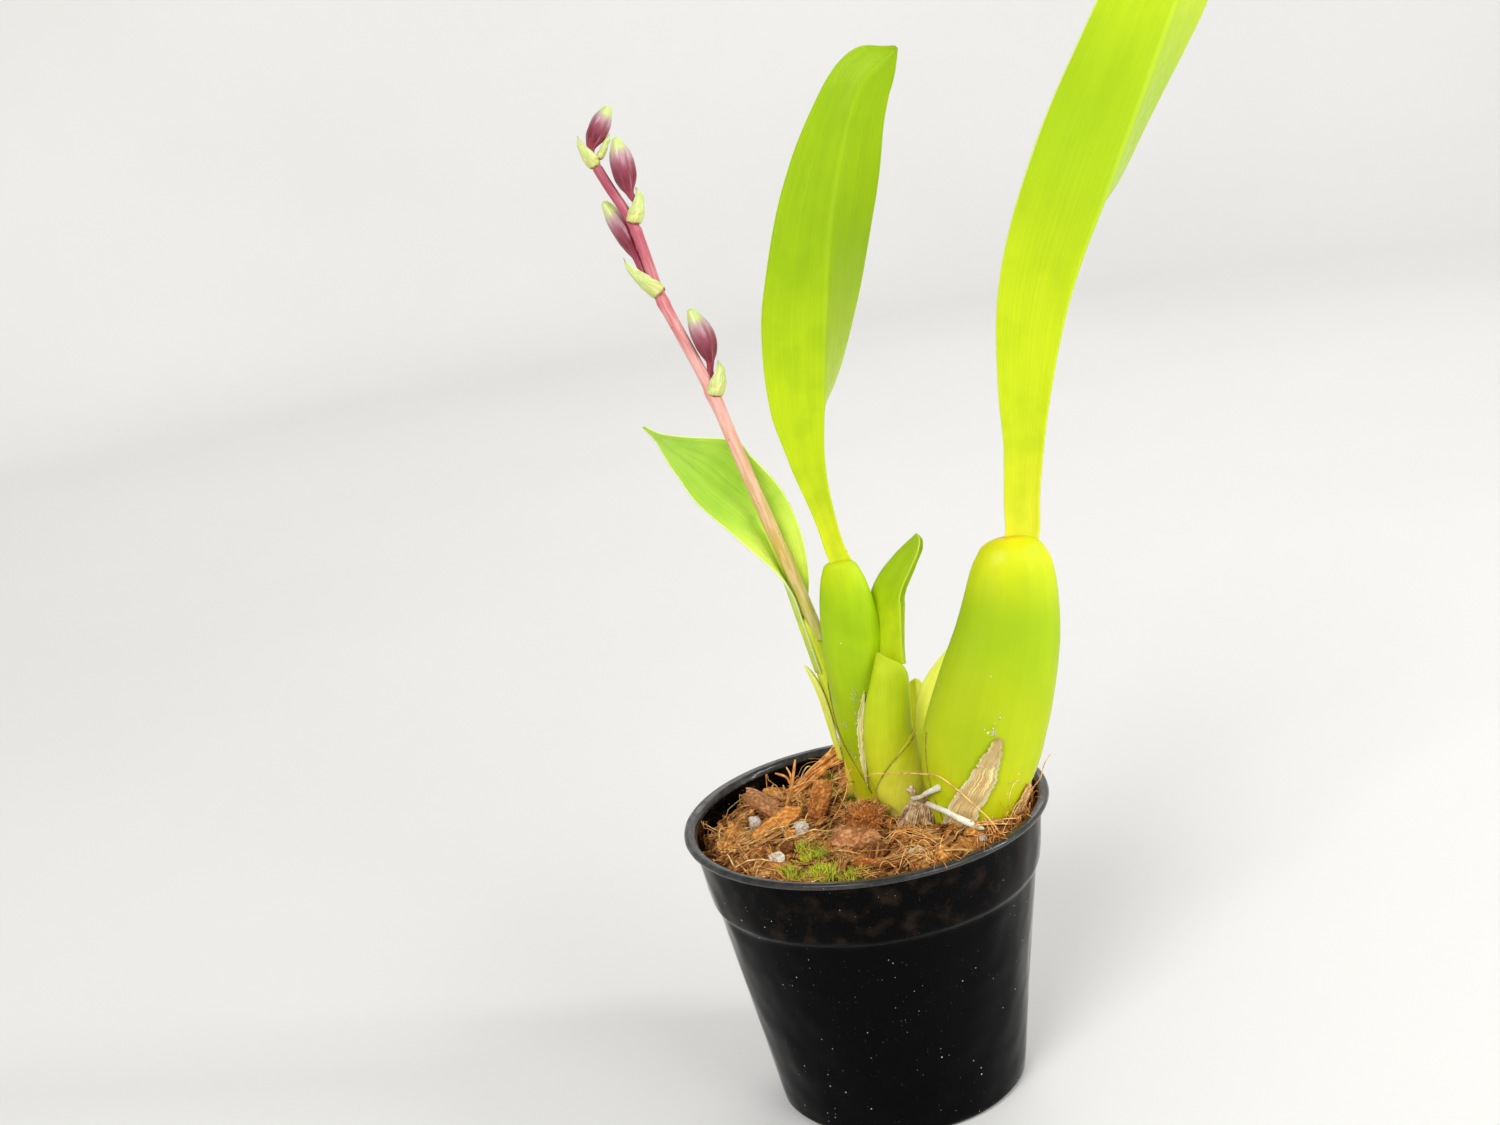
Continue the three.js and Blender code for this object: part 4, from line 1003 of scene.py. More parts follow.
# %% Bud shapes
BUDS = [
    ([[-22.1, 8.8, 198.8], [-23, 8.6, 202], [-22.6, 7.9, 205.5], [-23, 7.4, 210], [-25.6, 7.4, 219.6]],
     0.3, 3.05),
    ([[-35.6, 8.1, 228], [-36.4, 8.2, 231.5], [-37.2, 9.2, 235], [-38.9, 10.4, 240.5], [-43.1, 10.2, 249.4]],
     0.28, 3.0),
    ([[-33.9, 7.8, 246.5], [-34.9, 7.6, 248.5], [-35.8, 7.4, 250.4], [-36.5, 7.2, 256], [-37.1, 7.4, 264.8]],
     0.24, 3.1),
    ([[-43.9, 7.5, 260], [-43.9, 7.5, 262], [-43.2, 7.5, 264], [-40.8, 7.3, 267.8], [-37.4, 7.3, 272.5]],
     0.2, 2.6),
]


def bud_rings(points, start, radius, rows=110, around=48):
    """Rings of a closed bud: the radius swells from the stalk at the share called start and
    tapers to a blunt point. It changes by 0.05 times the cosine of three times the angle, less
    three narrow grooves, each exp(-(angle / 0.13)²), which part the sepals, and by a fine
    ripple round it."""
    profile = [[0, 0.75], [start, 1.05], [start + 0.1, 0.66 * radius], [start + 0.22, 0.93 * radius],
               [0.64, radius], [0.78, 0.86 * radius], [0.9, 0.56 * radius], [0.97, 0.36 * radius],
               [1, 0.24 * radius]]
    place, share, face, side = course(points, [[0, 0], [1, 0]], np.linspace(0, 1, rows))
    angle = ring_angles(around)
    body = level_ends(np.clip((share - start) / 0.15, 0, 1))[:, None]
    turn = angle[None] + 1.1 * share[:, None]
    third = 2 * np.pi / 3
    groove = np.exp(-((np.mod(turn, third) - third / 2) / 0.13) ** 2)
    swell = 1 + body * (0.05 * np.cos(3 * turn) - 0.10 * groove * (1 - 0.4 * share[:, None]))
    swell = swell + 0.012 * np.cos(14 * angle)[None] * body
    close = np.sqrt(np.clip(1 - (np.clip(share - 0.97, 0, 1) / 0.03) ** 2, 0, 1))
    r = eased(profile, share)[:, None] * swell * (0.15 + 0.85 * close)[:, None]
    arm = np.cos(angle)[None, :, None] * side[:, None] + np.sin(angle)[None, :, None] * face[:, None]
    return place[:, None] + r[..., None] * arm


for number, (points, start, radius) in zip(NUMBERS, BUDS):
    bud_mesh = round_mesh(f"flower_bud_{number}", bud_rings(points, start, radius))
    settle(bud_mesh, bud_finish, "bud_maroon", f"bud_{number}")

# %% [markdown]
# ## The pot's skin
#
# A nursery pot is one skin of glossy black plastic: a tapered body, a band with a step under
# it, and a rolled lip. Its profile is turned round the axis: a ring is the radius times cosine
# and sine. Thin plastic is never quite round, so the radius of the wall also carries slow
# waves, and it is these that bend the reflections of the lamps.

# %% Pot profile and rings
POT_PROFILE = np.array([
    [0.01, 0], [16, 0], [31.5, 0], [33, 0.3], [34, 1.4], [34.6, 4.8], [38.9, 31], [43.7, 61],
    [44.1, 61.7], [44.6, 62.2], [44.95, 63.2], [45.5, 66], [46.4, 72.6], [47.25, 79], [47.6, 79.5],
    [48.7, 79.6], [49.2, 79.8], [49.4, 80.3], [49.25, 80.9], [48.8, 81.25], [48.2, 81.3], [47.3, 81.2],
    [46.5, 80.7], [46, 79.4], [44.2, 66], [42.4, 62], [38, 34], [32.9, 2.6], [32.2, 2.05], [31, 2],
    [16, 2], [0.01, 2]])


def dense_profile(points, step=1.1):
    """Points at even steps along a profile of straight lines, with each set point kept."""
    length = np.concatenate([[0], np.cumsum(np.linalg.norm(np.diff(points, axis=0), axis=1))])
    counts = np.maximum(np.ceil(np.diff(length) / step).astype(int), 1)
    stretches = zip(length[:-1], length[1:], counts)
    at = np.concatenate([*(np.linspace(a, b, n, endpoint=False) for a, b, n in stretches), length[-1:]])
    return np.stack([np.interp(at, length, points[:, k]) for k in range(2)], 1)


def turned_rings(profile, around, wave):
    """Rings of a turned shape: radius times cosine and sine. On the wall the radius grows by
    wave times noise of two sizes, read round a circle, so that it closes."""
    angle = ring_angles(around)
    x, y = np.cos(angle)[None], np.sin(angle)[None]
    r, z = profile[:, :1], profile[:, 1:]
    slow = soft_noise(x * 3 + z * 0.035, y * 3 + z * 0.02, 1.0, 71)
    quick = soft_noise(x * 9 + z * 0.06, y * 9 - z * 0.04, 1.0, 72)
    on_wall = np.clip((r - 32) / 4, 0, 1) * np.clip((79 - z) / 6, 0, 1)
    r = r + wave * on_wall * (slow + 0.22 * quick)
    return np.stack([r * x, r * y, np.broadcast_to(z, (len(profile), around))], -1)


pot_rings = turned_rings(dense_profile(POT_PROFILE), 150, wave=0.3)
print("pot rings:", len(pot_rings))

# %% [markdown]
# ## Drain holes
#
# Six round holes are cut out of the floor, evenly spaced on a circle. Each drill is a thick
# tube that goes through the floor, and a boolean takes all six out of the skin at once.

# %% Drain holes
HOLES = 6
HOLE_CIRCLE = 24
HOLE_RADIUS = 3.5
DRILL_FOOT = -2.0
DRILL_LENGTH = 8

pot = show("pot_shell", round_mesh("pot_shell", pot_rings))
angles = 2 * np.pi * (np.arange(HOLES) + 0.5) / HOLES
low = np.stack([HOLE_CIRCLE * np.cos(angles), HOLE_CIRCLE * np.sin(angles), np.full(HOLES, DRILL_FOOT)], 1)
drills = tube_arrays(np.stack([low, low + [0, 0, DRILL_LENGTH]], 1), np.full((HOLES, 2), HOLE_RADIUS), 32)
drill = show("drill", put_mesh("drill", *drills))
cut = pot.modifiers.new("holes", "BOOLEAN")
cut.operation = "DIFFERENCE"
cut.object = drill
cut.solver = "EXACT"
graph = bpy.context.evaluated_depsgraph_get()
pot_mesh = bpy.data.meshes.new_from_object(pot.evaluated_get(graph))
pot_mesh.name = "pot_shell"
for spent in (pot, drill):
    bpy.data.objects.remove(spent)
print("holes cut:", HOLES)

# %% [markdown]
# ## Black plastic
#
# Black plastic has almost no colour of its own, so dust and its reflections are what the eye sees. The lip is
# a little paler and duller than the wall, the band is browner and rougher in blotches, and two sizes of
# specks lie over all of it.

# %% Plastic of the pot
plastic, tree, shader, surface, place = start_finish("black_plastic")
height = parts_of(tree, place)[2]
on_lip = between(tree, height, 79.2 * MM, 79.8 * MM)
on_band = between(tree, height, 61.5 * MM, 64 * MM)
film = mask_of(tree, blotches, place, Size=5.0, Detail=7.0, Low=0.46, High=0.74)
worn = mask_of(tree, blotches, place, Size=2.4, Detail=4.0, Low=0.4, High=0.62)
dust = mask_of(tree, specks, place, Spacing=1.1, Size=0.15, Share=0.30)
grit = mask_of(tree, specks, place, Spacing=2.0, Size=0.10, Share=0.16)
# Brown blotches on the band, which also make it rougher there.
band_brown_film = product(tree, product(tree, film, on_band), 0.3)
dusty = product(tree, dust, between(tree, film, 0.2, 0.8, 0.10, 0.9))
colour = layered(tree, tinted(tree, on_lip, (0.0012, 0.0012, 0.0015), (0.018, 0.019, 0.019)),
                 (product(tree, on_lip, worn), (0.034, 0.032, 0.030)), (band_brown_film, (0.045, 0.026, 0.014)),
                 (dusty, (0.26, 0.24, 0.20)), (grit, (0.42, 0.40, 0.36)))
rough = between(tree, film, 0.0, 1.0, 0.03, 0.08)
rough = reckon(tree, "ADD", rough, product(tree, on_lip, 0.12))
rough = reckon(tree, "ADD", rough, product(tree, band_brown_film, 0.7))
dress(tree, shader, colour, Roughness=rough, IOR=1.45,
      Specular_IOR_Level=between(tree, on_lip, 0.0, 1.0, 0.05, 0.4))
ripple = put(tree, "ShaderNodeTexNoise", {"Vector": place, "Scale": 75.0, "Detail": 1.0})
raise_surface(tree, shader, ripple.outputs[0], 0.9)
settle(pot_mesh, plastic, "pot_plastic", "pot")

# %% [markdown]
# ## The bed of coir
#
# The mix is coconut husk: chips, crumbs and a great many loose fibres. Below them lies one
# closed bed that fills the pot, with its top worked out as a height over each place: a gentle
# slope, plus bumps of three sizes, less two hollows. Everything that lies on the mix asks the
# same function how high the bed is, so nothing floats.

# %% Height of the mix and its bed
GROUND_NOISE = [(1.4, 9.0, 81), (1.1, 3.6, 82), (0.4, 1.4, 83)]
HOLLOWS = [(3.2, 5.6, -18, 14), (2, -23, -9, 8)]
BED_HEIGHT, BED_SLOPE = 76.6, 0.035
SINK_FROM, SINK_OVER, SINK_DEPTH = 40, 5, 1.2
WALL_HEIGHTS, WALL_RADII = [2, 62, 66, 79.4], [32.5, 42.0, 43.8, 45.6]
BED_FOOT, BED_SHOULDER, BED_RADIUS = 2.3, 74, 45.2


def ground(x, y):
    """Height of the bed: a slope, less a sinking towards the wall, plus noise (height, size,
    seed), less hollows (depth, x, y, spread), each depth times exp(-distance² / spread)."""
    sinking = np.clip((np.hypot(x, y) - SINK_FROM) / SINK_OVER, 0, 1) ** 2
    high = BED_HEIGHT + BED_SLOPE * x - BED_SLOPE * y - SINK_DEPTH * sinking
    for tall, size, seed in GROUND_NOISE:
        high = high + tall * soft_noise(x, y, size, seed)
    for depth, at_x, at_y, spread in HOLLOWS:
        high = high - depth * np.exp(-((x - at_x) ** 2 + (y - at_y) ** 2) / spread)
    return high


def bed_rings(around=220, rows=110):
    """Rings of the bed: up along the pot's wall from the floor, then inwards over the top."""
    angle = ring_angles(around)
    wall_z = np.linspace(BED_FOOT, BED_SHOULDER, 12)[:, None]
    wall_r = np.interp(wall_z, WALL_HEIGHTS, WALL_RADII)
    wall = np.stack([wall_r * np.cos(angle), wall_r * np.sin(angle), np.repeat(wall_z, around, 1)], -1)
    top_r = BED_RADIUS * np.linspace(1, 0.01, rows)[:, None]
    x, y = top_r * np.cos(angle), top_r * np.sin(angle)
    return np.concatenate([wall, np.stack([x, y, ground(x, y)], -1)])


def husk_finish(name, dark, light, grain_size, depth, roughness=0.85):
    """Brown that goes from dark to light by the tint of each lump or fibre, with fine grain."""
    material, tree, shader, surface, place = start_finish(name)
    tint = put(tree, "ShaderNodeAttribute", attribute_name="tint").outputs["Fac"]
    base = tinted(tree, tint, dark, light)
    fine = mask_of(tree, blotches, place, Size=grain_size, Detail=5.0, Low=0.36, High=0.64)
    colour = tinted(tree, fine, times(tree, base, (0.56, 0.44, 0.34)), base)
    dress(tree, shader, colour, Roughness=roughness, Specular_IOR_Level=0.3)
    raise_surface(tree, shader, fine, depth)
    return material


# The bed's near-black to dark brown is the coir's own brown darkened further, as painted shade for the deep
# gaps between the chips and fibres; its fine grain is darker still.
bed_and_gap_shade_finish, tree, shader, surface, place = start_finish("coir_bed")
coarse = mask_of(tree, blotches, place, Size=4.5, Detail=6.0, Low=0.4, High=0.62)
fine = mask_of(tree, blotches, place, Size=0.9, Detail=4.0, Low=0.38, High=0.62)
colour = tinted(tree, coarse, (0.05, 0.017, 0.003), (0.28, 0.10, 0.02))
dress(tree, shader, tinted(tree, fine, times(tree, colour, (0.4, 0.32, 0.28)), colour), Roughness=0.9)
raise_surface(tree, shader, fine, 0.6)
settle(round_mesh("coir_bed", bed_rings()), bed_and_gap_shade_finish, "mix_coir", "potting_mix")

# %% [markdown]
# ## Many lumps at once
#
# Chips, crumbs and specks are all small rough lumps. One ball of a few faces is made once,
# and then stretched, turned and moved for each lump by its own matrix, all in one sum over
# arrays.

# %% Lumps
def turn_matrices(x, y, z):
    """Rotation matrices: about z first, then y, then x, with angles in radians."""
    zero, one = np.zeros_like(x), np.ones_like(x)

    def matrix(*cells):
        return np.stack(cells, -1).reshape(-1, 3, 3)

    about_x = matrix(one, zero, zero, zero, np.cos(x), -np.sin(x), zero, np.sin(x), np.cos(x))
    about_y = matrix(np.cos(y), zero, np.sin(y), zero, one, zero, -np.sin(y), zero, np.cos(y))
    about_z = matrix(np.cos(z), -np.sin(z), zero, np.sin(z), np.cos(z), zero, zero, zero, one)
    return about_x @ about_y @ about_z


def small_ball(rings, around):
    """A ball of a few faces: rings by the sine and cosine of the height angle, with two poles."""
    high = np.pi * (np.arange(rings) + 1)[:, None] / (rings + 1)
    turn = ring_angles(around)
    skin = np.stack([np.sin(high) * np.cos(turn), np.sin(high) * np.sin(turn),
                     np.repeat(np.cos(high), around, 1)], -1)
    index = np.arange(rings * around).reshape(rings, around)
    after = np.roll(index, -1, axis=1)
    top = np.stack([index[0], after[0], np.full(around, index.size)], 1)
    foot = np.stack([after[-1], index[-1], np.full(around, index.size + 1)], 1)
    return np.vstack([skin.reshape(-1, 3), [[0, 0, 1], [0, 0, -1]]]), [ring_quads(index), top, foot]


def squared(ball, boxy):
    """Directions squared off: each part raised to a power, with its sign kept."""
    return np.sign(ball) * np.abs(ball) ** boxy


def many_lumps(name, places, sizes, turns, tint, rng, rings=4, around=7, rough=0.22, boxy=0.5):
    """One mesh of many lumps: a squared ball, roughened point by point, scaled by its size,
    turned, and moved to its place."""
    ball, faces = small_ball(rings, around)
    square = squared(ball, boxy)
    square = square / np.abs(square).max(0)
    rough_ball = square[None] * (1 + rough * rng.uniform(-1, 1, (len(places), len(ball), 1)))
    turned = np.einsum("nij,nkj->nki", turn_matrices(*turns.T), rough_ball * sizes[:, None] / 2)
    step = len(ball) * np.arange(len(places))[:, None, None]
    faces = [(block[None] + step).reshape(-1, block.shape[1]) for block in faces]
    points = (turned + places[:, None]).reshape(-1, 3)
    return put_mesh(name, points, faces, None, {"tint": np.repeat(tint, len(ball))})


print("a small ball has", len(small_ball(4, 7)[0]), "points")

# %% [markdown]
# ## Chips and crumbs
#
# A few hundred chips and over a thousand crumbs lie on the bed. They keep clear of the growths
# and of the large pieces, as chips pushed aside by them do. All random places and sizes come
# from one seeded source, so the mix looks the same every time.

# %% Chips and crumbs
GROWTHS = [[28, -14, 10], [8.7, -1, 6], [2, 11.5, 4.5], [-2, 17, 2.6], [12.4, -9.4, 3], [19, 9, 4],
           [17.6, 13.5, 3]]
LARGE_PIECES = [[-1.2, -10.4, 5.5], [-3.4, -19.4, 5.5], [-12.6, 3.5, 3.5], [-29, 20, 4], [-24, 14, 4],
                [-24.6, 0.6, 4.5], [-30.4, 7.4, 2.4], [-17.6, -3.6, 2.6], [-25, -20.6, 3], [11.2, -32.6, 2.8]]
CLEARINGS = np.array(GROWTHS + LARGE_PIECES)
FULL_TURN = 6.28


def scattered(count, rng, reach):
    """Random places in a disc: the radius goes as the square root of a random share; places in
    a clearing (x, y, radius) are dropped."""
    r = reach * np.sqrt(rng.random(count * 2))
    angle = 2 * np.pi * rng.random(count * 2)
    x, y = r * np.cos(angle), r * np.sin(angle)
    gap = np.hypot(x[:, None] - CLEARINGS[:, 0], y[:, None] - CLEARINGS[:, 1]) - CLEARINGS[:, 2]
    free = gap.min(1) > 0
    return x[free][:count], y[free][:count]


rng = np.random.default_rng(11)
chip_finish = husk_finish("husk_chips", (0.16, 0.045, 0.008), (0.92, 0.44, 0.10), 1.3, 0.6)
x, y = scattered(380, rng, 40.5)
count = len(x)
sizes = np.stack([rng.uniform(3, 9, count), rng.uniform(1.8, 4.8, count), rng.uniform(1.0, 3.2, count)], 1)
turns = np.stack([rng.normal(0, 0.35, count), rng.normal(0, 0.35, count),
                  rng.uniform(0, 2 * np.pi, count)], 1)
places = np.stack([x, y, ground(x, y) + 0.25], 1)
settle(many_lumps("husk_chips", places, sizes, turns, rng.beta(1.0, 1.0, count), rng), chip_finish, "bark")
x, y = scattered(1200, rng, 44.5)
count = len(x)
sizes = rng.uniform(0.5, 1.9, (count, 3))
turns = rng.uniform(0, FULL_TURN, (count, 3))
places = np.stack([x, y, ground(x, y) + 0.35], 1)
settle(many_lumps("husk_crumbs", places, sizes, turns, rng.beta(1.5, 1.5, count), rng, rings=3, around=5),
       chip_finish, "mix_coir")

# %% [markdown]
# ## The pieces that can be told apart
#
# A block and a lump of coir, a slab and a splint of bark, a stump of husk and a splint of wood
# are large enough to know one by one. Each is a grid of two angles on a squared ball, pushed
# in and out by noise. The noise can be drawn out along one direction, which is all the
# difference between sponge, bark and split wood.

# %% Large pieces
def noise_3d(p, size, seed):
    """Noise over space: the mean of flat noises on the three pairs of directions, times 1.6."""
    return 1.6 / 3 * (soft_noise(p[..., 0] + 0.37 * p[..., 2], p[..., 1], size, seed)
                      + soft_noise(p[..., 1] + 0.41 * p[..., 0], p[..., 2], size, seed + 1)
                      + soft_noise(p[..., 2] + 0.33 * p[..., 1], p[..., 0], size, seed + 2))


def rough_piece(name, at, size, turn, seed, boxy=0.55, bumps=((3.0, 0.5), (1.0, 0.25)), stretch=(1, 1, 1),
                splinter=0.0, rows=60, around=84):
    """A squared ball, scaled; then noise of several (size, depth) along the direction, read at
    places divided by stretch, and splinters at the ends."""
    high = np.pi * np.linspace(0.012, 0.988, rows)[:, None]
    angle = ring_angles(around)
    ball = np.stack([np.repeat(np.cos(high), around, 1), np.sin(high) * np.cos(angle),
                     np.sin(high) * np.sin(angle)], -1)
    body = squared(ball, boxy) * np.array(size) / 2
    drawn = body / np.array(stretch)
    push = sum(depth * noise_3d(drawn, wide, seed + 7 * k) for k, (wide, depth) in enumerate(bumps))
    body = body + unit(ball * [0.4, 1, 1]) * push[..., None]
    ends = np.clip(np.abs(ball[..., 0]) - 0.55, 0, 1) / 0.45
    body[..., 0] += splinter * ends * np.sign(ball[..., 0]) * noise_3d(body * [0, 1, 1], 0.9, seed + 40)
    matrix = turn_matrices(*np.radians(np.array(turn, float))[:, None])[0]
    tint = 0.5 + 0.5 * noise_3d(body / np.array(stretch), 1.1, seed + 60)
    return round_mesh(name, body @ matrix.T + at, {"tint": tint})


def lay(name, finish, slot, *nodes, **shape):
    """Settles a rough piece of that shape."""
    settle(rough_piece(name, **shape), finish, slot, *nodes)


coir_finish = husk_finish("chunk_red_brown", (0.30, 0.060, 0.010), (0.90, 0.34, 0.07), 0.6, 0.6)
bark_finish = husk_finish("bark_brown", (0.34, 0.13, 0.035), (0.80, 0.40, 0.17), 1.0, 0.35)
stump_finish = husk_finish("husk_orange", (0.44, 0.13, 0.022), (0.96, 0.44, 0.11), 0.9, 0.4)
wood_finish = husk_finish("wood_orange", (0.60, 0.20, 0.03), (1.0, 0.50, 0.12), 1.2, 0.2)
lay("coir_block", coir_finish, "coir_fibre", "coir_chunk", at=[-0.6, -9.4, 80.8], size=[10.8, 8.6, 8.8],
    turn=[10, 20, 0], seed=90, boxy=0.85, bumps=((3.2, 0.9), (1.2, 0.6), (0.6, 0.45)), rows=80, around=120)
lay("bark_slab", bark_finish, "bark", "bark_flat", at=[-3.6, -19.4, 80.0], size=[13, 8.6, 5.8],
    turn=[-16, 8, -6], seed=110, bumps=((3.0, 0.7), (1.0, 0.35)), stretch=(2.2, 1, 1), splinter=0.8)
lay("bark_splint", bark_finish, "bark", "bark_strip", at=[-26.4, 17.4, 77.2], size=[20, 6.5, 3.6],
    turn=[10, 6, -50], seed=130, boxy=0.5, bumps=((2.2, 0.6), (0.8, 0.4)), stretch=(7, 1, 1), splinter=2.2)
lay("coir_lump_front", coir_finish, "coir_fibre", at=[1.5, -34.5, 77.6], size=[13, 6.5, 5],
    turn=[6, 10, 12], seed=130, boxy=0.7, bumps=((2.6, 0.7), (1.0, 0.45)), stretch=(2, 1, 1), splinter=0.8)
lay("husk_stump", stump_finish, "coir_fibre", "husk_upright", at=[-12.6, 3.5, 81.5], size=[5, 3.4, 15],
    turn=[0, 20, 12], seed=150, bumps=((2.4, 0.7), (0.9, 0.4)), stretch=(1, 1, 5))
lay("wood_splint", wood_finish, "bark", "wood_chip", at=[-24.6, 0.0, 78.8], size=[16.5, 6, 2],
    turn=[24, 0, 40], seed=170, boxy=0.45, bumps=((2.0, 0.25), (0.7, 0.12)), stretch=(8, 1, 1), splinter=1.6)

# %% [markdown]
# ## Perlite
#
# Perlite is glass blown up by heat: pale, light and full of pores. Four grains are large enough to know one
# by one, and some crumbs of it lie about. The finish gives them pits, by the distance to the nearest of many
# random points, with painted shade that makes the pits darker, and a brown stain in blotches.

# %% Perlite
perlite_finish, tree, shader, surface, place = start_finish("perlite_white")
pores = put(tree, "ShaderNodeTexVoronoi", {"Vector": place, "Scale": 1900.0})
pits = between(tree, pores.outputs["Distance"], 0.1, 0.5)
stain = mask_of(tree, blotches, place, Size=2.0, Low=0.5, High=0.75)
# The pits get the darker colour: painted shade in the pores.
colour = tinted(tree, pits, (0.44, 0.38, 0.30), (0.68, 0.62, 0.52))
dress(tree, shader, tinted(tree, stain, colour, (0.46, 0.32, 0.20)), Roughness=0.8,
      Subsurface_Weight=0.25, Subsurface_Scale=0.001)
raise_surface(tree, shader, pits, 0.3)

GRAINS = [([-30.4, 7.4, 77.3], [4.2, 3.8, 3.4], 90, 193), ([-17.6, -3.6, 78.5], [4, 4.4, 3.4], 90, 193),
          ([-25, -20.6, 77.9], [5.0, 4.4, 3.6], 150, 195), ([11.2, -32.6, 79.6], [4.4, 4, 3.6], 120, 194)]
for number, (at, size, spin, seed) in zip(NUMBERS, GRAINS):
    lay(f"perlite_grain_{number}", perlite_finish, "perlite", f"perlite_{number}", at=at, size=size,
        turn=[0, 0, spin], seed=seed, boxy=0.8,
        bumps=((1.9, 0.55), (0.7, 0.28)), rows=32, around=42)
x, y = scattered(26, rng, 42)
count = len(x)
places = np.stack([x, y, ground(x, y) + 0.6], 1)
sizes = rng.uniform(0.9, 2.4, (count, 3))
turns = rng.uniform(0, FULL_TURN, (count, 3))
settle(many_lumps("perlite_crumbs", places, sizes, turns, rng.random(count), rng, boxy=0.8),
       perlite_finish, "perlite")

# %% [markdown]
# ## Loose fibres
#
# Fibres are what makes the mix look like coir. Each is a line of ten points: it starts
# somewhere on the bed, turns a little more at each step, and rises in a low arch whose ends
# are buried. All lines are worked out at once, then given a thin three-sided skin.

# %% Coir fibres
FIBRE_STEPS = 10
FIBRE_REACH = 44.0


def fibre_lines(count, rng, length, arch, bend, rise):
    """Lines over the bed: heading is a random angle plus a steady turn and small random turns;
    places are the running sum of steps; height is the bed plus arch times a half sine, and a
    few lines rise evenly to a free end."""
    x, y = scattered(count, rng, FIBRE_REACH)
    count = len(x)
    long = np.clip(rng.lognormal(np.log(length), 0.5, count), 3, 42)
    heading = 2 * np.pi * rng.random(count)[:, None] + np.cumsum(
        rng.normal(0, bend * 0.5, (count, FIBRE_STEPS)) + rng.normal(0, bend, count)[:, None], 1)
    pace = (long / FIBRE_STEPS)[:, None]
    px = x[:, None] + np.cumsum(pace * np.cos(heading), 1)
    py = y[:, None] + np.cumsum(pace * np.sin(heading), 1)
    squeeze = np.minimum(1, (FIBRE_REACH + 1) / np.maximum(np.hypot(px, py), 1e-6))
    px, py = px * squeeze, py * squeeze
    t = np.linspace(0, 1, FIBRE_STEPS)[None]
    high = rng.exponential(arch, count)[:, None] * np.sin(np.pi * t) ** 0.8
    high = high + 0.5 - 1.6 * np.abs(2 * t - 1) ** 3
    free = (rng.random(count) < 0.22) * rng.exponential(1.0, count) * rise
    high = high + np.minimum(free * long / 10, 9)[:, None] * t**1.3
    return np.stack([px, py, ground(px, py) + high], -1)


def taper(count, steps, rng, low, high):
    """Radii along each fibre: a random size times 0.35 + 0.65 sin(pi t) to the power 0.6."""
    t = np.linspace(0, 1, steps)[None]
    swell = 0.35 + 0.65 * np.sin(np.pi * np.clip(t, 0.04, 0.96)) ** 0.6
    return rng.uniform(low, high, count)[:, None] * swell


straw_fibre = husk_finish("fibre_straw", (0.74, 0.35, 0.07), (1.0, 0.74, 0.30), 2.2, 0.04, 0.55)
tan_fibre = husk_finish("fibre_tan", (0.62, 0.22, 0.045), (1.0, 0.54, 0.16), 1.6, 0.05, 0.55)
dark_fibre = husk_finish("fibre_dark", (0.20, 0.05, 0.010), (0.66, 0.25, 0.06), 1.6, 0.05, 0.6)
for name, count, length, arch, bend, thin, broad, rise, finish in [
        ("fibres_straw", 210, 21, 1.5, 0.03, 0.10, 0.25, 3.2, straw_fibre),
        ("fibres_tan", 640, 12, 1.0, 0.06, 0.08, 0.20, 2.2, tan_fibre),
        ("fibres_dark", 380, 10, 0.6, 0.09, 0.09, 0.24, 0.6, dark_fibre)]:
    lines = fibre_lines(count, rng, length, arch, bend, rise)
    radii = taper(len(lines), FIBRE_STEPS, rng, thin, broad)
    settle(tubes_mesh(name, lines, radii, 3, rng.beta(1.6, 1.3, len(lines))), finish, "coir_fibre")

# %% [markdown]
# ## Frayed husk
#
# A piece of husk is a small bundle of strands that lie side by side and splay at both ends.
# So each bundle has a place, a heading and a tilt, and each of its twelve strands has its own
# length, its own place off the middle and its own bow.

# %% Frayed husk
BUNDLES, STRANDS, STEPS = 150, 12, 6

x, y = scattered(BUNDLES, rng, 41)
x, y = x[:, None, None], y[:, None, None]
each_bundle, each_strand = (len(x), 1, 1), (len(x), STRANDS, 1)
heading = rng.uniform(0, np.pi, each_bundle)
tilt = rng.normal(0, 0.28, each_bundle)
half_long = rng.uniform(1.8, 7.5, each_bundle) * rng.uniform(0.7, 1.15, each_strand)
apart = rng.uniform(0.5, 1.3, each_bundle)
off_side = rng.normal(0, 1, each_strand) * apart
off_up = rng.normal(0, 0.4, each_strand) * apart
t = np.linspace(-1, 1, STEPS)[None, None]
splay = 1 + 0.5 * np.abs(t) ** 3 * rng.uniform(-0.4, 1.4, each_strand)
sideways = off_side * splay + rng.normal(0, 0.5, each_strand) * t**2
lines = np.stack([x + np.cos(heading) * half_long * t - np.sin(heading) * sideways,
                  y + np.sin(heading) * half_long * t + np.cos(heading) * sideways,
                  ground(x, y) + 1.3 + half_long * t * np.sin(tilt) + off_up * splay], -1)
lines = lines.reshape(-1, STEPS, 3)
out = np.hypot(lines[..., 0], lines[..., 1])[..., None]
lines[..., :2] *= np.minimum(1, 44.2 / np.maximum(out, 1e-6))
swell = 0.4 + 0.6 * np.sqrt(1 - np.linspace(-0.95, 0.95, STEPS) ** 2)
radii = rng.uniform(0.20, 0.46, len(lines))[:, None] * swell
shade = np.repeat(rng.beta(0.8, 0.9, len(x)), STRANDS) + rng.normal(0, 0.12, len(lines))
frayed_finish = husk_finish("husk_frayed", (0.30, 0.095, 0.018), (1.0, 0.60, 0.20), 1.2, 0.3)
settle(tubes_mesh("frayed_husk", lines, radii, 3, np.clip(shade, 0, 1)), frayed_finish, "coir_fibre")

# %% [markdown]
# ## Moss
#
# Moss is a cushion of tiny upright shoots. Each shoot is a spindle with four rings of three
# points, leaning to one side by a random amount.

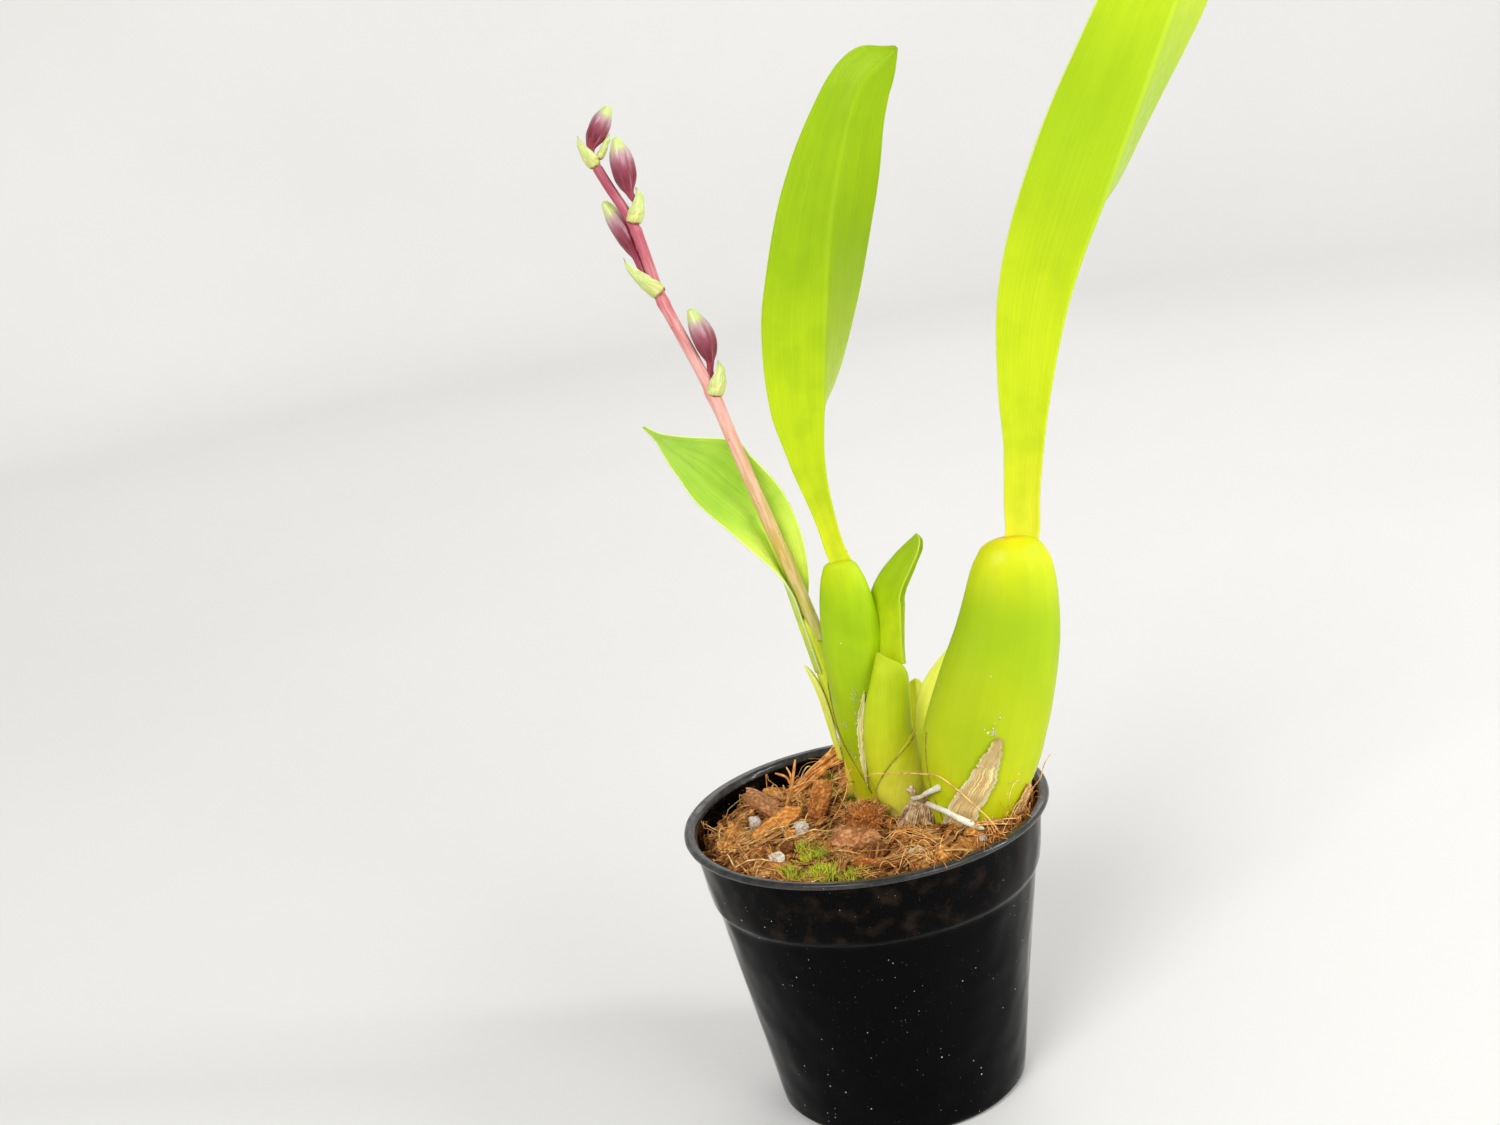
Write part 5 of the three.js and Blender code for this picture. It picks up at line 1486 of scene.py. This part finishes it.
# %% Moss cushions
moss_finish, tree, shader, surface, place = start_finish("moss_green")
tint = put(tree, "ShaderNodeAttribute", attribute_name="tint").outputs["Fac"]
dress(tree, shader, tinted(tree, tint, (0.08, 0.16, 0.003), (0.76, 0.73, 0.03)), Roughness=0.7,
      Subsurface_Weight=0.2, Subsurface_Scale=0.0008)
CUSHIONS = [(-14.6, -21.5, 3.2, 430), (-17.2, -17.5, 2.0, 120), (-14, -35.5, 3.6, 460),
            (-20.5, -31, 2.4, 170), (-5.5, -38.5, 3.0, 260), (-7.2, 12.3, 2.8, 260),
            (-4.2, 15.6, 2.4, 200), (-12, 32, 3.2, 220), (-20, 6, 1.8, 80)]
x = np.concatenate([at_x + spread * rng.normal(0, 0.55, n) for at_x, at_y, spread, n in CUSHIONS])
y = np.concatenate([at_y + spread * rng.normal(0, 0.55, n) for at_x, at_y, spread, n in CUSHIONS])
tall = rng.uniform(1.4, 3.4, len(x))
lean_x, lean_y = (rng.normal(0, 0.45, (2, len(x))) * tall)[..., None]
t = np.linspace(0, 1, 4)[None]
lines = np.stack([x[:, None] + lean_x * t**1.5, y[:, None] + lean_y * t**1.5,
                  (ground(x, y) + 0.2)[:, None] + tall[:, None] * t], -1)
radii = rng.uniform(0.14, 0.26, len(x))[:, None] * [0.7, 1.0, 0.8, 0.25]
shade = np.clip(0.5 + 0.32 * soft_noise(x, y, 2.6, 97) + rng.normal(0, 0.16, len(x)), 0, 1)
settle(tubes_mesh("moss_cushions", lines, radii, 3, shade), moss_finish, "leaf_green")

# %% [markdown]
# ## Old stem and roots
#
# The stub of an old growth is a short grooved stem with a dry bud on it. Roots are thick and
# white, because they wear a spongy coat that soaks up water, and a growing one has a green
# tip.

# %% Stub and roots
stub_finish = husk_finish("stub_wood", (0.50, 0.33, 0.16), (0.92, 0.76, 0.50), 0.9, 0.3)
stub_rings = growth_rings(
    [[12, -9.4, 72], [13, -11, 80], [14.8, -13, 85.4]], [[0, -90], [1, -90]],
    [[0, 4.2], [0.5, 4.0], [0.8, 3.2], [1, 2.6]], [[0, 2.2], [0.5, 2.4], [1, 1.6]], 60, 48,
    groove=0.06, ridges=13, rounded=0.10, grain_seed=8)
stub_mesh = round_mesh("old_growth", stub_rings, {"tint": 0.5 + 0.4 * noise_3d(stub_rings, 1.2, 240)})
settle(stub_mesh, stub_finish, "old_wood", "old_stub")

root_finish = plant_finish(
    "root_white",
    [(0.0, (0.72, 0.64, 0.50)), (0.3, (0.88, 0.84, 0.72)), (0.85, (0.90, 0.88, 0.76)),
     (1.0, (0.74, 0.76, 0.40))],
    ((0.60, 0.50, 0.36), 2.0, 0.5), lines=16, line_shade=0.12, roughness=0.5, depth=0.06)
ROOTS = [
    ([[12.7, -13.4, 86.6], [14.6, -16.0, 87.7], [16.4, -18.0, 89.4], [20.1, -20.0, 91.4]],
     [[0, 0.7], [0.3, 0.55], [0.7, 0.75], [0.9, 0.95], [1, 0.8]]),
    ([[16.4, -14.8, 85.0], [20.6, -21.6, 85.0], [24.2, -25.2, 83.6], [29.4, -27.4, 81.2]],
     [[0, 0.85], [0.5, 0.75], [0.7, 0.9], [0.9, 0.85], [1, 0.5]]),
    ([[14.4, -14.6, 80.8], [16.5, -17.6, 79.5], [18.4, -20, 78.2]], [[0, 0.8], [1, 0.55]]),
]
for number, (points, radius) in zip(NUMBERS, ROOTS):
    grow(f"root_{number}_skin", root_finish, "root_white", f"root_{number}", points=points,
         facing=[[0, 0], [1, 0]], wide=radius, deep=radius, rows=60, around=20, groove=0.03, ridges=5,
         rounded=0.08, grain_seed=9)
lay("old_bud", stub_finish, "old_wood", at=[12.7, -14.2, 89.0], size=[3.4, 2.0, 2.3], turn=[0, 70, 10],
    seed=230, boxy=0.85, bumps=((1.2, 0.35),), rows=28, around=36)

# %% [markdown]
# ## Hairs on the stub
#
# The stub is covered in hairs that hang from its top to the mix. Each is a line that bows
# past a knee, and a random number across the stub sets where it starts and ends.

# %% Hairs on the stub
HAIRS, HAIR_STEPS = 520, 8
HAIRS_TOP, HAIRS_FOOT = (14.8, -13.4, 85.6), (12.4, -12.4, 77.4)

one_each = (HAIRS, 1)
across = rng.uniform(-1, 1, one_each)
depth = np.sqrt(1 - across**2) * rng.choice([-1.0, 1.0], one_each, p=[0.25, 0.75])
top = HAIRS_TOP + np.hstack([3.2 * across, -2.0 * depth, -4.4 * rng.random(one_each) ** 1.5])
foot = HAIRS_FOOT + np.hstack([5.0 * across, -4.2 * depth, 0 * across])
foot = foot + np.hstack([rng.normal(0, spread, one_each) for spread in (0.6, 0.7, 0.8)])
outwards = np.hstack([0.5 * across, -0.7 * depth, 0 * across])
knee = (top + foot) / 2 + outwards + rng.normal(0, 0.35, (HAIRS, 3))
radii = taper(HAIRS, HAIR_STEPS, rng, 0.08, 0.19)
hair_finish = husk_finish("stub_hair", (0.52, 0.33, 0.15), (0.96, 0.80, 0.52), 1.6, 0.03, 0.7)
settle(tubes_mesh("stub_hairs", bowed(top, knee, foot, HAIR_STEPS), radii, 3, rng.random(HAIRS)),
       hair_finish, "old_wood")

# %% [markdown]
# ## Strands that stand out
#
# A few strands are plain to see one by one: a long loop over the mix, some short ones that
# stick up, and a strap of fibres at the back. Each runs through its own set points, and the
# strap is one such line drawn many times with its points moved a little.

# %% Set strands and the strap
def set_strand(points, radius, steps=24):
    """One smooth strand through set points, as a line and its radii, which are the radius times
    1 - t⁴ / 2 while t goes from -1 to 1."""
    return smooth_line(points, np.linspace(0, 1, steps)), radius * (1 - 0.5 * np.linspace(-1, 1, steps) ** 4)


LOOP = ([[1.4, -9.5, 92.6], [3.1, -10.5, 93.8], [7.7, -12.4, 93.9], [11.6, -15.5, 94.7],
         [16.6, -20.5, 95.6], [19.7, -23.5, 95.8], [23.4, -26, 92.9], [27.8, -28, 88.1],
         [31.0, -29.6, 84.4], [33.4, -31, 80]], 0.2)
STRAYS = [
    ([[-1, 2, 92], [-3.1, 0, 90.8], [-4.2, -2, 86.9], [-6.7, -4, 82.8], [-9.2, -6, 80.4],
      [-11.3, -6, 76]], 0.2),
    ([[-22, 10, 78], [-18.5, 8, 88], [-16.9, 8, 93.7]], 0.5),
    ([[-19, 8, 86], [-20, 8, 89], [-22.9, 8, 90.7]], 0.35),
    ([[-18.9, 8, 87], [-18.9, 8, 90], [-19.6, 8, 92]], 0.3),
    ([[-20, 8, 84], [-21, 7, 86], [-21.1, 6, 87.7]], 0.3),
    ([[52, 8, 85], [49.3, 2, 84.4], [47.4, -2, 82.4], [44.5, -6, 81.1], [42, -10, 78]], 0.16),
]
for name, chosen, finish in [("loop_strand", [LOOP], straw_fibre), ("stray_strands", STRAYS, tan_fibre)]:
    lines, radii = zip(*(set_strand(points, radius) for points, radius in chosen))
    tint = np.linspace(0.5, 0.9, len(chosen))
    settle(tubes_mesh(name, np.stack(lines), np.stack(radii), 6, tint), finish, "coir_fibre")

STRAP_LINE = np.array([[-22.4, 24.6, 75.2], [-13, 29.5, 81], [-4, 33, 84.6]])
STRAP_SPREAD = [[0.4, 0.4, 0.3], [0.7, 0.7, 0.7], [1.5, 1.2, 1.4]]
STRAP_STRANDS, STRAP_STEPS = 26, 16
shares = np.linspace(0, 1, STRAP_STEPS)
strap = np.stack([smooth_line(STRAP_LINE + rng.normal(0, STRAP_SPREAD), shares)
                  for strand in range(STRAP_STRANDS)])
radii = taper(STRAP_STRANDS, STRAP_STEPS, rng, 0.22, 0.5)
settle(tubes_mesh("strap_strands", strap, radii, 5, rng.random(STRAP_STRANDS)), tan_fibre, "coir_fibre",
       "fibre_strap")

# %% [markdown]
# ## Fibres over the rim
#
# At the right the mix leans against the pot's wall and its fibres hang over the lip. A fibre
# that goes past the wall is kept above the lip, so it lies on the plastic and not in it.

# %% Fibres over the rim
RIM_FIBRES = 360
FOOT_RADIUS, FOOT_HEIGHT = 43.0, 76.5
LIP_FROM, LIP_TOP = 45.4, 81.6

angle = np.radians(rng.uniform(-70, 40, RIM_FIBRES))
foot = np.stack([FOOT_RADIUS * np.cos(angle), FOOT_RADIUS * np.sin(angle),
                 np.full(RIM_FIBRES, FOOT_HEIGHT)], 1)
tip = foot + np.stack([rng.normal(0.3, 1.8, RIM_FIBRES), rng.normal(0, 4.5, RIM_FIBRES),
                       rng.uniform(1.0, 5.0, RIM_FIBRES) + 4.5 * (rng.random(RIM_FIBRES) < 0.12)], 1)
knee = (foot + tip) / 2 + rng.normal(0, 1.0, (RIM_FIBRES, 3))
lines = bowed(foot, knee, tip, HAIR_STEPS)
over_lip = np.hypot(lines[..., 0], lines[..., 1]) > LIP_FROM
lines[..., 2] = np.where(over_lip, np.maximum(lines[..., 2], LIP_TOP), lines[..., 2])
radii = taper(RIM_FIBRES, HAIR_STEPS, rng, 0.07, 0.17)
settle(tubes_mesh("rim_fibres", lines, radii, 3, rng.random(RIM_FIBRES)), tan_fibre, "coir_fibre")

# %% [markdown]
# ## Hairs on the coir block
#
# The block of coir is a tangle, so its skin is hidden by short hairs. Each starts at a random direction from
# the block's middle, on an oval a little inside the skin, and goes outwards a little and sideways a lot. The
# upper ones are painted paler, as painted light for the light that falls on the top of the block.

# %% Hairs on the coir block
BLOCK_HAIRS = 1350
BLOCK_MIDDLE = [-0.6, -9.4, 80.6]
BLOCK_REACH = [4.6, 3.7, 3.8]

ball = unit(rng.normal(0, 1, (BLOCK_HAIRS, 3)))
foot = BLOCK_MIDDLE + ball * BLOCK_REACH
tip = foot + ball * rng.uniform(0.1, 1.0, BLOCK_HAIRS)[:, None] + rng.normal(0, 1.5, (BLOCK_HAIRS, 3))
knee = (foot + tip) / 2 + rng.normal(0, 0.7, (BLOCK_HAIRS, 3))
# Hairs higher on the block get a paler tint, as painted light for the light on its top, plus a random spread.
shade = np.clip(0.55 + (foot[:, 2] - 81) / 7 + rng.normal(0, 0.22, BLOCK_HAIRS), 0, 1)
radii = taper(BLOCK_HAIRS, HAIR_STEPS, rng, 0.07, 0.15)
block_hair_finish = husk_finish("fibre_red_brown", (0.30, 0.060, 0.010), (1.0, 0.54, 0.16), 1.6, 0.05, 0.6)
settle(tubes_mesh("block_hairs", bowed(foot, knee, tip, HAIR_STEPS), radii, 3, shade),
       block_hair_finish, "coir_fibre")

# %% [markdown]
# ## Thin brown margins
#
# Where a sheath ends on a bulb its margin dries to a thin brown line. Each line is a set of
# points on the bulb's own skin, at a share of the height and an angle round it, and gets a
# fine skin of its own.

# %% Seams on the bulbs
SEAM_STEPS = 40


def on_skin(growth, shares, angles, lift=0.0):
    """Points on a growth's skin at shares of its height and angles round it: middle line, plus
    cosine times (half width + lift), plus sine times (half depth + lift)."""
    place, share, face, side = course(growth["points"], growth["facing"], shares)
    angle = np.radians(angles)
    across = np.cos(angle) * (eased(growth["wide"], share) + lift)
    through = np.sin(angle) * (eased(growth["deep"], share) + lift)
    return place + across[:, None] * side + through[:, None] * face


def seam(growth, shares, angles, lift=0.15):
    """A line on a growth's skin from one share to another, through angles at even steps."""
    t = np.linspace(0, 1, SEAM_STEPS)
    set_angles = np.stack([np.linspace(0, 1, len(angles)), angles], 1)
    return on_skin(growth, np.interp(t, [0, 1], shares), eased(set_angles, t), lift)


seams = np.stack([
    seam(BULB_MIDDLE, [0.55, 0.14], [172, 155, 118, 76]),
    seam(BULB_TALL, [0.36, 0.12], [163, 157, 152, 140]),
    seam(BULB_YOUNG, [0.64, 0.20], [14, 72, 113, 150, 165], lift=1.95),
])
uneven = soft_noise(np.arange(SEAM_STEPS)[None] * 1.3, np.arange(len(seams))[:, None] * 7, 2.0, 95)
seam_finish = husk_finish("seam_brown", (0.32, 0.18, 0.03), (0.56, 0.36, 0.09), 0.8, 0.1, 0.6)
settle(tubes_mesh("sheath_seams", seams, 0.13 * (1 + 0.4 * uneven), 5, np.array([0.3, 0.5, 0.7])),
       seam_finish, "dry_sheath")

# %% [markdown]
# ## Cottony specks
#
# Dried sap and bits of old sheath cling to the bulbs as pale specks. They are small lumps in
# a few loose groups on the skin: each group has a middle, a number of specks, and a spread
# up the bulb and round it.

# %% Specks on the bulbs
SPECK_GROUPS = [
    (BULB_MIDDLE, 0.53, 86, 20, 0.010, 4), (BULB_MIDDLE, 0.41, 118, 14, 0.010, 6),
    (BULB_MIDDLE, 0.30, 112, 12, 0.02, 8), (BULB_MIDDLE, 0.44, 88, 22, 0.05, 3),
    (BULB_TALL, 0.47, 84, 6, 0.012, 2), (BULB_TALL, 0.42, 88, 16, 0.008, 2),
    (BULB_TALL, 0.38, 92, 8, 0.04, 4), (BULB_TALL, 0.26, 50, 9, 0.05, 14),
]
groups = []
for growth, share, angle, count, wide, turn in SPECK_GROUPS:
    shares = np.sort(share + wide * rng.normal(0, 1, count))
    groups.append(on_skin(growth, shares, angle + turn * rng.normal(0, 1, count)))
spots = np.vstack(groups)
count = len(spots)
sizes = rng.uniform(0.15, 0.6, (count, 3)) * rng.uniform(0.5, 1.1, (count, 1))
turns = rng.uniform(0, FULL_TURN, (count, 3))
speck_finish = husk_finish("speck_cream", (0.62, 0.56, 0.34), (0.90, 0.86, 0.66), 0.4, 0.1, 0.7)
settle(many_lumps("pale_specks", spots, sizes, turns, rng.random(count), rng, rings=3, around=6),
       speck_finish, "dry_sheath")

# %% [markdown]
# ## Straw beside the stub
#
# A loose bundle of brown straw lies from the stub towards the front. All its stalks run the
# same way, so both ends are set places moved by the same random number, plus a small shift of
# their own, and the knee lifts each stalk off the mix.

# %% Straw beside the stub
STALKS, STALK_STEPS = 30, 10
BACK_END, FRONT_END = (8.5, -16, 79.0), (19.5, -30, 77.8)

off = rng.normal(0, 1, (STALKS, 1))
back_end = BACK_END + off * [1.2, 2.4, 0] + rng.normal(0, 0.9, (STALKS, 3))
front_end = FRONT_END + off * [2.6, 2.8, 0] + rng.normal(0, 1.6, (STALKS, 3)) * [1, 1, 0.4]
lift = np.hstack([rng.normal(0, 0.6, (STALKS, 2)), rng.uniform(2.0, 4.6, (STALKS, 1))])
lines = bowed(back_end, (back_end + front_end) / 2 + lift, front_end, STALK_STEPS)
radii = taper(STALKS, STALK_STEPS, rng, 0.14, 0.34)
straw_finish = husk_finish("straw_brown", (0.44, 0.16, 0.03), (0.94, 0.54, 0.17), 1.4, 0.1, 0.6)
settle(tubes_mesh("straw_bundle", lines, radii, 4, rng.beta(1.5, 1.2, STALKS)), straw_finish, "coir_fibre")

# %% [markdown]
# ## Floor
#
# A plain pale floor curves up far behind the plant, so no edge shows from any side. Its height
# is zero near the pot and grows as a square further out. It casts no shadow, so its raised rim
# doesn't darken the light of the far lamps.

# %% Floor
def floor_rings(reach=2.8, flat=1.4, around=96):
    """Rings of a shallow bowl, in metres: height is zero out to the radius called flat, then
    1.2 times the square of the rest."""
    radius = np.concatenate([np.linspace(0.05, 1.2, 12), np.linspace(1.3, reach, 40)])[:, None]
    angle = ring_angles(around)
    rise = np.broadcast_to(np.maximum(radius - flat, 0) ** 2 * 1.2, (len(radius), around))
    return np.stack([radius * np.cos(angle), radius * np.sin(angle), rise], -1)


rings = floor_rings()
index = np.arange(rings.shape[0] * rings.shape[1]).reshape(rings.shape[:2])
floor_mesh = bpy.data.meshes.new("floor")
floor_mesh.from_pydata(rings.reshape(-1, 3).tolist(), [], ring_quads(index).tolist() + [index[0].tolist()])
floor_mesh.polygons.foreach_set("use_smooth", [True] * len(floor_mesh.polygons))
pale, tree, shader, surface, place = start_finish("pale_floor")
cloudy = mask_of(tree, blotches, place, Size=400.0, Low=0.2, High=0.8)
dress(tree, shader, tinted(tree, cloudy, (0.70, 0.69, 0.67), (0.73, 0.72, 0.70)), Roughness=0.7)
floor_mesh.materials.append(pale)
floor = show("floor", floor_mesh)
floor.visible_shadow = False
print("floor:", len(floor_mesh.polygons), "faces")

# %% [markdown]
# ## Lamps and world
#
# Daylight from a window comes from a wide patch of sky. Three far lamps stand for it: they
# are the same everywhere and spread over 25 to 40 degrees, so their shadows are soft. Four
# near lamps with a soft rectangle of light give the gloss on the bulbs and the pot, and a
# weak bluish world lights what is left.

# %% Lamps and world
def aim(light, direction):
    """Turns a lamp so that it shines in a direction."""
    light.rotation_euler = Vector(direction).to_track_quat("-Z", "Y").to_euler()


def soft_light(name, place, target, size, power):
    """A rectangular lamp at a place that shines on the target."""
    lamp = bpy.data.lights.new(name, "AREA")
    lamp.shape = "RECTANGLE"
    lamp.size, lamp.size_y = size
    lamp.energy = power
    light = show(name, lamp)
    light.location = place
    aim(light, Vector(target) - Vector(place))
    print(name, "lamp:", power, "W")


def far_light(name, direction, spread, strength):
    """A lamp like an evenly bright patch of sky: the same everywhere, from one direction."""
    lamp = bpy.data.lights.new(name, "SUN")
    lamp.angle = np.radians(spread)
    lamp.energy = strength
    aim(show(name, lamp), direction)
    print(name, "lamp:", strength, "W/m2")


far_light("sky_front", (0.34, 0.74, -0.62), 25, 1.78)
far_light("sky_right", (-0.8, 0.35, -0.45), 30, 0.6)
far_light("sky_back", (-0.25, -0.75, -0.62), 40, 0.35)
soft_light("key", (-0.65, -0.95, 0.95), (0.02, 0, 0.16), (0.6, 0.6), 2)
soft_light("fill", (0.75, -0.95, 0.55), (0.02, 0, 0.14), (0.5, 0.5), 5.4)
soft_light("strip", (0.9, -0.15, 0.5), (0.0, 0, 0.06), (0.05, 0.9), 4)
soft_light("back", (0.3, 1.0, 0.9), (0.02, 0, 0.18), (0.9, 0.6), 3)
world = bpy.data.worlds.new("studio")
world.use_nodes = True
sky = world.node_tree.nodes["Background"].inputs
sky["Color"].default_value = (0.93, 0.96, 1.0, 1)
sky["Strength"].default_value = 0.31
bpy.context.scene.world = world
bpy.context.scene.view_settings.view_transform = "Standard"
